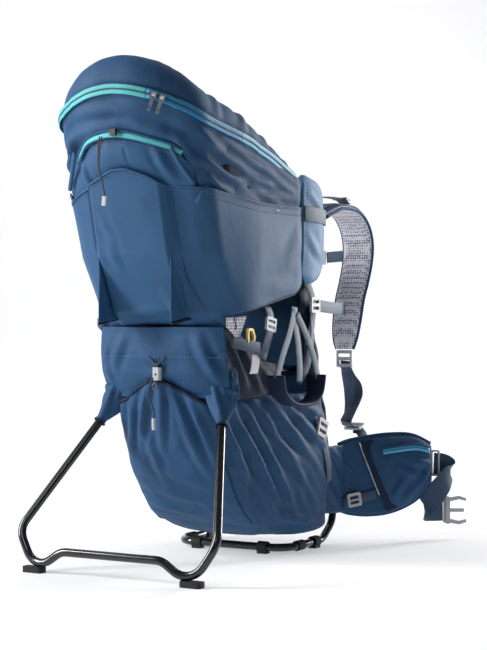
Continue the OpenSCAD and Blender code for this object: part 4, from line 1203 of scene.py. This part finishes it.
def side_mesh(s, tag):
    """The pale mesh triangle under the cockpit's lower edge."""
    tri = np.array([[(s * 119, -214 + 60 * u * (1 - 0.4 * t),
        386 + 3 * u - 38 * t * (0.35 + 0.65 * u)) for u in np.linspace(0, 1, 14)] for t in np.linspace(0, 1, 12)])
    shell_solid("side_mesh_" + tag, tri, "mesh", 1.4, slot="mesh")
    webbing("side_hang_" + tag, [(s * 133, -104, 384), (s * 135, -106, 372), (s * 134, -112, 352),
        (s * 133, -120, 336), (s * 131, -124, 322)], (s, 0, 0), 22)
    webbing("side_band_" + tag, [(s * 118, -196, 350), (s * 126, -168, 344), (s * 131, -140, 340),
        (s * 132, -116, 338)], (s, -0.2, 0.1), 18)
    webbing("side_up_" + tag, [(s * 126, -100, 404), (s * 132, -101, 392), (s * 133, -102, 380)], (s, 0, 0), 22)
    lab = np.array([[(s * (128.5 + 1.5 * math.sin(3 * t)), -152 + 24 * u - 8 * t,
        330 - 30 * t) for u in np.linspace(0, 1, 8)] for t in np.linspace(0, 1, 10)])
    shell_solid("care_label_" + tag, lab, "label", 0.5, slot="mesh")
    # the frame buckle's webbing: down from the column, then an S-bend
    strap("frame_webbing_" + tag, [(s * 127, 26, 448), (s * 133, 34, 430), (s * 134, 42, 410), (s * 131, 44, 384),
        (s * 134, 36, 352), (s * 136, 22, 326), (s * 134, 8, 300), (s * 130, -6, 284)],
          [(s, 0, 0), (s, 0.1, 0), (s, 0, 0), (s, 0.3, 0), (s, 0, 0.2), (s, -0.2, 0),
              (s, 0, 0)], 20, 1.8, "web", slot="webbing")
    webbing("stay_webbing_" + tag, [(s * 124, 40, 262), (s * 128, 56, 236), (s * 131, 70, 212), (s * 131, 88, 176),
        (s * 130, 104, 140), (s * 127, 112, 112)], (s, 0.1, 0.1), 24)


both(side_mesh)

# ---------------------------------------------------------------- stirrups


def stirrup(s, tag):
    body = tag + "_step"
    a = strap("stirrup_strap_a_" + tag, [(s * 137, -30, 404), (s * 139.5, -33, 380), (s * 146, -36, 350),
        (s * 150, -37, 310), (s * 150, -38, 284)], (s, 0, 0), 20, 1.8, "web", body=body, slot="navy")
    strap("stirrup_strap_b_" + tag, [(s * 139, -36, 392), (s * 145, -62, 360), (s * 149, -92, 326),
        (s * 150, -114, 290)], (s, 0, 0), 17, 1.8, "web", body=body, slot="navy")
    strap("stirrup_strap_c_" + tag, [(s * 139, -26, 392), (s * 145, -6, 360), (s * 149, 12, 326), (s * 150, 26, 290)],
        (s, 0, 0), 17, 1.8, "web", body=body, slot="navy")
    pts = [(s * 150, -115, 296), (s * 150, -104, 268), (s * 150, -74, 252), (s * 150, -38, 248), (s * 150, -4, 251),
        (s * 150, 18, 266), (s * 150, 27, 294)]
    path = resample(catmull(pts, 8), 4)
    sweep("stirrup_sling_" + tag, path, (0, 0.001, 1), round_rect(30, 5.5, 2.4, 3), "dark", body=body, slot="navy")
    for d in (-11, 11):
        stitches("stirrup_stitch_%s_%d" % (tag, d + 20), path + [d, 0, 0] - np.array([0, 0, 3.0]), (0, 0.001, -1),
            "thread", body=body, slot="navy")
    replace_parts(a, tag + "_stirrup")


both(stirrup)

# ---------------------------------------------------------------- inside the cockpit


def pad(name, rows_pts, thick, mat, body="pack", slot="navy", replaces=(), quilt=None):
    """A stuffed pad: a grid of back points, with a domed face thick in front, closed at its edges."""
    a = np.array([catmull(r, 6) for r in rows_pts])
    a = np.array([catmull(a[:, j], 6) for j in range(a.shape[1])]).transpose(1, 0, 2)
    n = grid_normals(a)
    m, c = a.shape[:2]
    u = np.linspace(0, 1, m)[:, None] * 2 - 1
    v = np.linspace(0, 1, c)[None, :] * 2 - 1
    e = ((1 - np.abs(u) ** 6) * (1 - np.abs(v) ** 6)) ** 0.45
    h = thick * (0.18 + 0.82 * e)
    if quilt is not None:
        h = h * quilt(u, v)
    front = a + n * h[..., None]
    k = m * c
    faces = grid_faces(m, c) + [tuple(k + i for i in f[::-1]) for f in grid_faces(m, c)]
    for j in range(c - 1):
        faces += [(j, k + j, k + j + 1, j + 1),
            ((m - 1) * c + j, (m - 1) * c + j + 1, k + (m - 1) * c + j + 1, k + (m - 1) * c + j)]
    for i in range(m - 1):
        faces += [(i * c, (i + 1) * c, k + (i + 1) * c, k + i * c),
            (i * c + c - 1, k + i * c + c - 1, k + (i + 1) * c + c - 1, (i + 1) * c + c - 1)]
    o = make(name, np.concatenate([front.reshape(-1, 3), a.reshape(-1, 3)]), faces, mat, body=body, slot=slot)
    bm = bmesh.new()
    bm.from_mesh(o.data)
    bmesh.ops.recalc_face_normals(bm, faces=bm.faces)
    bm.to_mesh(o.data)
    bm.free()
    if replaces:
        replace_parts(o, *replaces)
    return o


def back_y(z):
    return table(z, ((340, -172), (412, -194), (590, -262), (650, -280)))


pad("child_backrest_pad", [[(x, back_y(z), z) for x in (70, 35, 0, -35, -70)] for z in (342, 400, 470, 540, 600,
    648)], 14, "lining", slot="navy_dark",
    replaces=("child_backrest",), quilt=lambda u, v: 0.72 + 0.28 * np.abs(np.cos(u * 7)) ** 0.4 * np.ones_like(v))
pad("seat_cushion", [[(x * w, y, 310 + 0.02 * abs(x)) for x in (72, 36, 0, -36, -72)] for y,
    w in ((38, 0.86), (-10, 0.9), (-60, 0.95), (-100, 1.0), (-138, 1.0))][::-1], 20, "lining", slot="navy_dark",
    replaces=("seat_pad",))
pad("chin_cushion", [[(x, 17 + 0.0004 * x * x, z) for x in (-78, -40, 0, 40, 78)] for z in (520, 550, 575, 592)], 15,
    "navy", replaces=("chin_pad",))
hw = []
for s, tag in ((1, "right"), (-1, "left")):
    rows_ = [[(s * 118, y, z + (y + 160) * -0.42) for y in ((-232, -200, -165, -130, -100) if s > 0 else (-100, -130,
        -165, -200, -232))] for z in (568, 590, 612)]
    hw.append(pad("head_wing_" + tag, rows_, 12, "lining", body="head_rest", slot="navy_dark"))
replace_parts(hw[0], "head_wings")
hs = []
for s in (1, -1):
    hs.append(strap("harness_strap_%s" % ("right" if s > 0 else "left"),
        [(s * 38, -244, 594), (s * 38, -228, 560), (s * 34, -204, 500), (s * 24, -168, 430), (s * 13, -142, 394)],
        (0, 1, 0.35), 22, 3, "web_dark", slot="webbing"))
    strap("harness_pad_%s" % ("right" if s > 0 else "left"),
        [(s * 38, -224, 564), (s * 35, -204, 512), (s * 29, -180, 466)], (0, 1, 0.35), 40, 9, "lining",
        slot="webbing")
strap("crotch_strap", [(0, -138, 352), (0, -120, 338), (0, -92, 333)], (0, 0.6, 0.8), 25, 3, "web_dark",
    slot="webbing")
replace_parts(hs[0], "harness_straps")

# ---------------------------------------------------------------- wearer's side: plate, pads, yoke
zs = np.linspace(96, 520, 40)
a = np.array([[(x, stay_y(z) + 7 + 5.5, z) for x in np.linspace(-86, 86, 24)] for z in zs])
_, k = facing(a, 10, 10, (0, 1, 0))
plate = shell_solid("back_plate_cloth", a, "navy", 5.4 * k, slot="navy")
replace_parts(plate, "back_plate")
bp = []
for s, tag in ((1, "right"), (-1, "left")):
    xs = (78, 62, 44, 26) if s > 0 else (-26, -44, -62, -78)
    bp.append(pad("back_pad_" + tag, [[(x, stay_y(z) + 13, z) for x in xs] for z in (234, 300, 380, 450)], 17, "mesh",
        slot="mesh"))
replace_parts(bp[0], "back_pads")
pad("lumbar_cushion", [[(x, stay_y(z) + 13, z) for x in (84, 50, 0, -50, -84)] for z in (94, 130, 170, 206)], 23,
    "mesh", slot="mesh", replaces=("lumbar_pad",))
# side mesh that runs beside the back, seen between the column and the strap
for s, tag in ((1, "right"), (-1, "left")):
    xs = (96, 90, 84) if s > 0 else (-84, -90, -96)
    pad("side_back_mesh_" + tag, [[(x, stay_y(z) + 10, z) for x in xs] for z in (214, 270, 330, 384)], 10, "mesh",
        slot="mesh")
yk = sweep("yoke_pad", resample([(-110, 98, 559), (-60, 99, 560), (60, 99, 560), (110, 98, 559)], 6), (0, 1, 0),
    round_rect(50, 22, 9, 5), "navy", slot="navy")
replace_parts(yk, "yoke")

# ---------------------------------------------------------------- shoulder straps
SP = [(100, 104, 556), (100, 140, 568), (100, 170, 575), (100, 226, 572), (100, 262, 552), (100, 279, 522),
    (100, 277, 487), (100, 262, 450), (100, 246, 419), (100, 234, 380), (100, 228, 352), (100, 226, 333)]
SW = [54, 56, 58, 58, 58, 58, 57, 56, 55, 53, 46, 34]


def shoulder(s, tag):
    path = resample(catmull(np.c_[mir(SP, s), SW], 8), 4)
    w, pr = path[:, 3], path[:, :3]
    t = unit(np.gradient(pr, axis=0))
    side = np.array([1.0, 0, 0])
    n = unit(np.cross(side, t))  # away from the wearer's chest on the way down
    n = n * np.where(np.sum(n * (pr - np.array([s * 100, 190, 470])), axis=1, keepdims=True) > 0, 1, -1)
    sec = round_rect(1, 1, 0.28, 4)
    core = np.array([[p + side * q[0] * (ww - 3) + nn * q[1] * 13 for q in sec] for p, nn, ww in zip(pr, n, w)])
    m, c = core.shape[:2]
    faces = tube_faces(m, c)
    o = make("shoulder_strap_" + tag, core.reshape(-1, 3), faces, "mesh", slot="mesh")
    # outer cloth, its stitching, and the binding along both edges
    outer = np.array([[p + side * x * (ww - 8) + nn * (7.0 + 1.0 * math.cos(math.pi * x)) for x in np.linspace(-0.5,
        0.5, 12)] for p, nn, ww in zip(pr, n, w)])
    gn = grid_normals(outer)
    kk = 1 if np.sum(gn[10, 6] * n[10]) > 0 else -1
    shell_solid("strap_cloth_" + tag, outer, "navy", 1.4 * kk, slot="mesh")
    for e in (-1, 1):
        sweep("strap_binding_%s_%d" % (tag, e + 1), np.array([p + side * e * (ww - 2) / 2 for p, ww in zip(pr, w)]),
            (1, 0.01, 0), circle(3.0, 10), "navy", slot="mesh")
        stitches("strap_stitch_%s_%d" % (tag, e + 1),
            np.array([p + side * e * (ww - 13) / 2 + nn * 8.6 for p, nn, ww in zip(pr, n, w)]), (0, 0.8, 0.6),
            "thread", slot="mesh")
    mid = np.array([p + nn * 9.0 for p, nn in zip(pr, n)])
    sweep("strap_spine_" + tag, mid[4:-2], n[4:-2], flat(20, 1.8), "web", slot="webbing")
    return o


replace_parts(both(shoulder), "shoulder_straps")


def lifter(s, tag):
    o = webbing("load_lifter_" + tag, mir([(100, 96, 588.5), (100, 112, 591), (100, 160, 594.5), (100, 205, 594),
        (100, 228, 587)], s), (0, 0, 1), 20)
    m = basis(mir((100, 214, 595), s), (1, 0, 0), (0, 1, 0))
    ladder("lifter_lock_" + tag, m, 27, 24, 4, "grey_dark")
    return o


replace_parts(both(lifter), "load_lifters")


def side_strap(s, tag):
    return webbing("side_strap_" + tag, mir([(132, 40, 408), (131, 80, 406), (124, 130, 404), (112, 190, 404),
        (101, 224, 402)], s), (s, 0.25, 0), 20)


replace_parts(both(side_strap), "side_straps")


def lower_web(s, tag):
    pts = mir([(100, 228, 303), (102, 241, 287), (104, 262, 270), (105, 266, 252), (106, 250, 235), (108, 227, 219),
        (110, 209, 206), (112, 216, 200), (112, 232, 197)], s)
    o = webbing("strap_webbing_" + tag, pts,
        [(0, 1, 0.2), (0, 1, 0.4), (0, 1, 0.1), (0, 0.9, -0.4), (0, 0.7, -0.7), (0, 0.6, -0.8), (0, 0, -1),
        (0, -0.4, -0.9), (0, -0.3, -1)], 21)
    strap("strap_tail_" + tag, mir([(100, 229, 312), (98, 238, 286), (96, 250, 262), (97, 252, 236), (98, 246, 214)],
        s), (0, 1, 0.2), 20, 1.6, "web", slot="webbing")
    return o


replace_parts(both(lower_web), "strap_webbing")
st = []
for s in (1, -1):
    st.append(strap("sternum_web_%d" % (s + 1), mir([(84.5, 290, 500), (50, 300, 499), (25, 304, 498)], s), (0, 1, 0),
        20, 1.8, "web", body="sternum", slot="webbing"))
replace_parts(st[0], "sternum_strap")

# ---------------------------------------------------------------- hip belt
WP = [(112, 176), (122, 196), (146, 222), (176, 250), (206, 276), (232, 298)]
WL = [58, 50, 46, 50, 66, 94]
WT = [168, 174, 180, 184, 182, 166]


WEB_RUN = [(236, 302, 132), (247, 316, 130), (259, 318, 120), (256.5, 302, 102), (246, 289, 82), (234, 284, 64),
    (226, 288, 52), (231.5, 302, 50), (247.6, 314.6, 50)]


def wing_at(u):
    """The hip wing's section at u along it: its row of WP, the way out and the way on."""
    p = catmull(np.c_[WP, WL, WT], 12)
    i = u * (len(p) - 1)
    k = min(int(i), len(p) - 2)
    q = p[k] + (p[k + 1] - p[k]) * (i - k)
    t = unit(p[min(k + 2, len(p) - 1)][:2] - p[max(k - 1, 0)][:2])
    return q, np.array([t[1], -t[0], 0.0]), np.array([t[0], t[1], 0.0])


def hip(s, tag):
    body = tag + "_wing"
    slot_ = "navy"
    rings = []
    for u in np.linspace(0, 1, 46):
        q, o, _ = wing_at(u)
        lo, hi = q[2], q[3]
        th = 16 * (0.55 + 0.45 * math.sin(math.pi * min(1, max(0, u * 0.9 + 0.08))) ** 0.4)
        rings.append([np.array([q[0], q[1], (lo + hi) / 2]) + o * c[0] * th + np.array([0, 0,
            c[1] * (hi - lo)]) for c in round_rect(1, 1, 0.12, 3)])
    g = mir(np.array(rings), s)
    m, c = g.shape[:2]
    wing = make("hip_wing_" + tag, g.reshape(-1, 3), tube_faces(m, c), "navy", body=body, slot=slot_)
    subdivide(wing)
    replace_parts(wing, tag + "_hip_wing")
    # mesh lining on the wearer's side
    rows_ = []
    for t_ in np.linspace(0.08, 0.92, 14):
        row = []
        for u in np.linspace(0.04, 0.96, 40):
            q, o, t = wing_at(u)
            row.append(np.array([q[0], q[1], q[2] + (q[3] - q[2]) * t_]) - o * (8.2 + 2.5 * math.sin(math.pi * t_)))
        rows_.append(row)
    shell_solid("hip_lining_" + tag, mir(np.array(rows_), s), "mesh", 1.0, body=body, slot="mesh")
    # the outer pocket, from its slanting front edge to the tip
    rows_ = []
    nz, nu = (50, 90) if FINE else (24, 44)
    left = lambda t_: 0.60 - 0.27 * t_
    for t_ in np.linspace(0, 1, nz):
        row = []
        for v in np.linspace(0, 1, nu):
            u = left(t_) + (0.985 - left(t_)) * v
            q, o, t = wing_at(u)
            lo, hi = q[2] + 3, q[3] - 3
            b = 27 * math.sin(math.pi * min(1, 0.03 + 0.97 * v)) ** 0.55 * math.sin(math.pi * (0.02 + 0.95 * t_)) ** 0.62
            row.append(np.array([q[0], q[1], lo + (hi - lo) * t_]) + o * (7.5 + b))
        rows_.append(row)
    a = mir(np.array(rows_), s)
    on = mir(wing_at(0.6)[1], s)
    n, k = facing(a, nz // 2, nu // 2, on)

    def at_(v, t_):
        y, x = t_ * (nz - 1), v * (nu - 1)
        i0, j0 = min(int(y), nz - 2), min(int(x), nu - 2)
        fy, fx = y - i0, x - j0
        return (a[i0, j0] * (1 - fx) + a[i0, j0 + 1] * fx) * (1 - fy) + (a[i0 + 1, j0] * (1 - fx) + a[i0 + 1,
            j0 + 1] * fx) * fy

    for (u0, t0), (u1, t1), w, h in (((0.1, 0.15), (0.5, 0.5), 7, 2.6), ((0.3, 0.08), (0.75, 0.35), 7, 2.4),
            ((0.55, 0.1), (0.9, 0.5), 6, 2.2), ((0.35, 0.6), (0.6, 0.4), 6, 1.8),
            ((0.6, 0.65), (0.95, 0.55), 6, 1.8)):
        a = fold(a, n, [at_(u0, t0), at_((u0 + u1) / 2, (t0 + t1) / 2), at_(u1, t1)], w, h)
    line = np.array([at_(v, 0.80 + 0.06 * v) for v in np.linspace(0.2, 0.93, 60)])
    a = press(a, n, line, 4, -1.2)
    if FINE:
        a = rumple(a, n, 36, 1.2, (1, 1, 1), 2.2 + s, True)
    pk = shell_solid("hip_pocket_" + tag, a, "navy", 1.5 * k, body=body, slot=slot_)
    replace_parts(pk, tag + "_hip_pocket")
    face = unit(on + [0, 0, 0.35])
    zipline = resample(line + face * 1.3, 3)
    sweep("hip_zip_tape_" + tag, zipline, face, flat(9, 1.6), "cyan", body=body, slot="teal")
    sweep("hip_zip_coil_" + tag, zipline + face * 0.9, face, circle(1.0, 8), "blue", body=body, slot="teal")
    sweep("hip_zip_flap_" + tag, zipline + [0, 0, 6.0], face, flat(4, 2.6), "navy", body=body, slot=slot_)

    def wing_face(u, t_, out):
        q, o2, _ = wing_at(u)
        return mir(np.array([q[0], q[1], q[2] + (q[3] - q[2]) * t_]) + o2 * out, s)

    # the broad band down the pocket's front edge, its pale piping and the slim strap below
    edge = [0.96, 0.75, 0.5, 0.25, 0.04]
    strap("hip_band_" + tag, [wing_face(left(t_) + 0.02, t_, 12 + 6 * math.sin(math.pi * t_)) for t_ in edge], on, 24,
        1.8, "dark", body=body, slot=slot_)
    tube("hip_piping_" + tag, np.array([wing_face(left(t_) - 0.045, t_, 12.5) for t_ in edge[:-1]]), 1.3, "piping",
        up=on, n=8, body=body, slot=slot_)
    webbing("hip_compress_" + tag, [wing_face(u, t_, 11.5) for u,
        t_ in ((0.06, 0.10), (0.16, 0.17), (0.3, 0.22), (0.46, 0.27))], on, 16, body=body)
    x_ = wing_face(0.26, 0.20, 13) - wing_face(0.2, 0.18, 13)
    ladder("hip_lock_" + tag, basis(wing_face(0.23, 0.195, 14), x_, (0, 0, 1)), 26, 24, 4, "grey", web=14, body=body)
    for (u0, t0), (u1, t1) in (((0.02, 0.75), (0.25, 0.55)), ((0.02, 0.45), (0.22, 0.35))):
        strap("hip_crease_%s_%d" % (tag, int(t0 * 100)),
            [wing_face(u0, t0, 8.4), wing_face((u0 + u1) / 2, (t0 + t1) / 2, 9.4), wing_face(u1, t1, 8.6)], on, 5,
            1.2, "navy", body=body, slot=slot_)
    # binding round the wing's edge
    for hi in (2, 3):
        e = []
        for u in np.linspace(0.01, 0.99, 30):
            q, o2, t = wing_at(u)
            e.append([q[0], q[1], q[hi] + (1 if hi == 3 else -1)])
        tube("hip_binding_%s_%d" % (tag, hi), mir(e, s), 3.2, "navy", up=(0, 0.01, 1), n=10, k=2, body=body,
            slot=slot_)
    # webbing to the buckle, with its rings
    run = resample(catmull(mir(WEB_RUN, s), 8), 2.5)
    face = unit(np.cross([0, 0, 1.0], np.gradient(run, axis=0)))
    hw_ = sweep("hip_webbing_" + tag, run, face, flat(38, 1.9), "web", body=body, slot="webbing")
    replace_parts(hw_, tag + "_hip_webbing")
    prism("hip_ring_" + tag, round_rect(46, 16, 4, 4), -2, 2,
        basis(mir((238, 304, 133), s), (0, 0, 1), (s * 0.865, 0.5, 0)), "grey", [round_rect(39, 9, 2, 3)], 0.7,
        body=body, slot="plastic_grey")
    # the tab that the shoulder strap's lock is sewn to
    tab = mir([(113, 236, 194), (122, 240, 189), (131, 235, 180), (138, 229, 166), (141, 226, 150)], s)
    webbing("belt_tab_" + tag, tab, (s * 0.7, -0.5, 0.5), 20, body=body)


both(hip)


def belt_root(s, tag):
    """The cloth from the bag's side round the frame to the root of the wing."""
    def point(u, t):
        x = 125 - 5 * u + 3.5 * math.sin(math.pi * u) + 1.5 * math.sin(7 * t + 3 * u)
        return (s * x, 84 + 100 * u, 60 - 8 * u + (112 + 4 * u) * t)

    a = surface(point, np.linspace(0, 1, 30), np.linspace(0, 1, 30))
    n, k = facing(a, 10, 10, (s, 0, 0))
    for y0, z0, y1, z1 in ((96, 160, 170, 90), (90, 120, 150, 66), (110, 168, 180, 130)):
        a = fold(a, n, [(s * 127, y0, z0), (s * 126, (y0 + y1) / 2, (z0 + z1) / 2), (s * 121, y1, z1)], 8, 2.6)
    shell_solid("belt_root_" + tag, a, "navy", 4.0 * k, slot="navy")


both(belt_root)

# ---------------------------------------------------------------- ground
back = np.array([-0.5, 0.866])  # the camera's way of looking, over the floor
side_way = np.array([0.866, 0.5])
prof_ = [(-4.5, 0.0)] + [(1.5 + 1.2 * math.sin(t), 1.2 - 1.2 * math.cos(t)) for t in np.linspace(0, math.pi / 2,
    16)] + [(2.7, 6.0)]
pts = [[*(back * d + side_way * w), z] for d, z in prof_ for w in (-6.0, 6.0)]
sweep_mesh = bpy.data.meshes.new("ground")
sweep_mesh.from_pydata(pts, [], [(2 * i, 2 * i + 1, 2 * i + 3, 2 * i + 2) for i in range(len(prof_) - 1)])
sweep_mesh.polygons.foreach_set("use_smooth", [True] * len(sweep_mesh.polygons))
floor = bpy.data.objects.new("ground", sweep_mesh)
scene.collection.objects.link(floor)
sweep_mesh.materials.append(M["ground"])
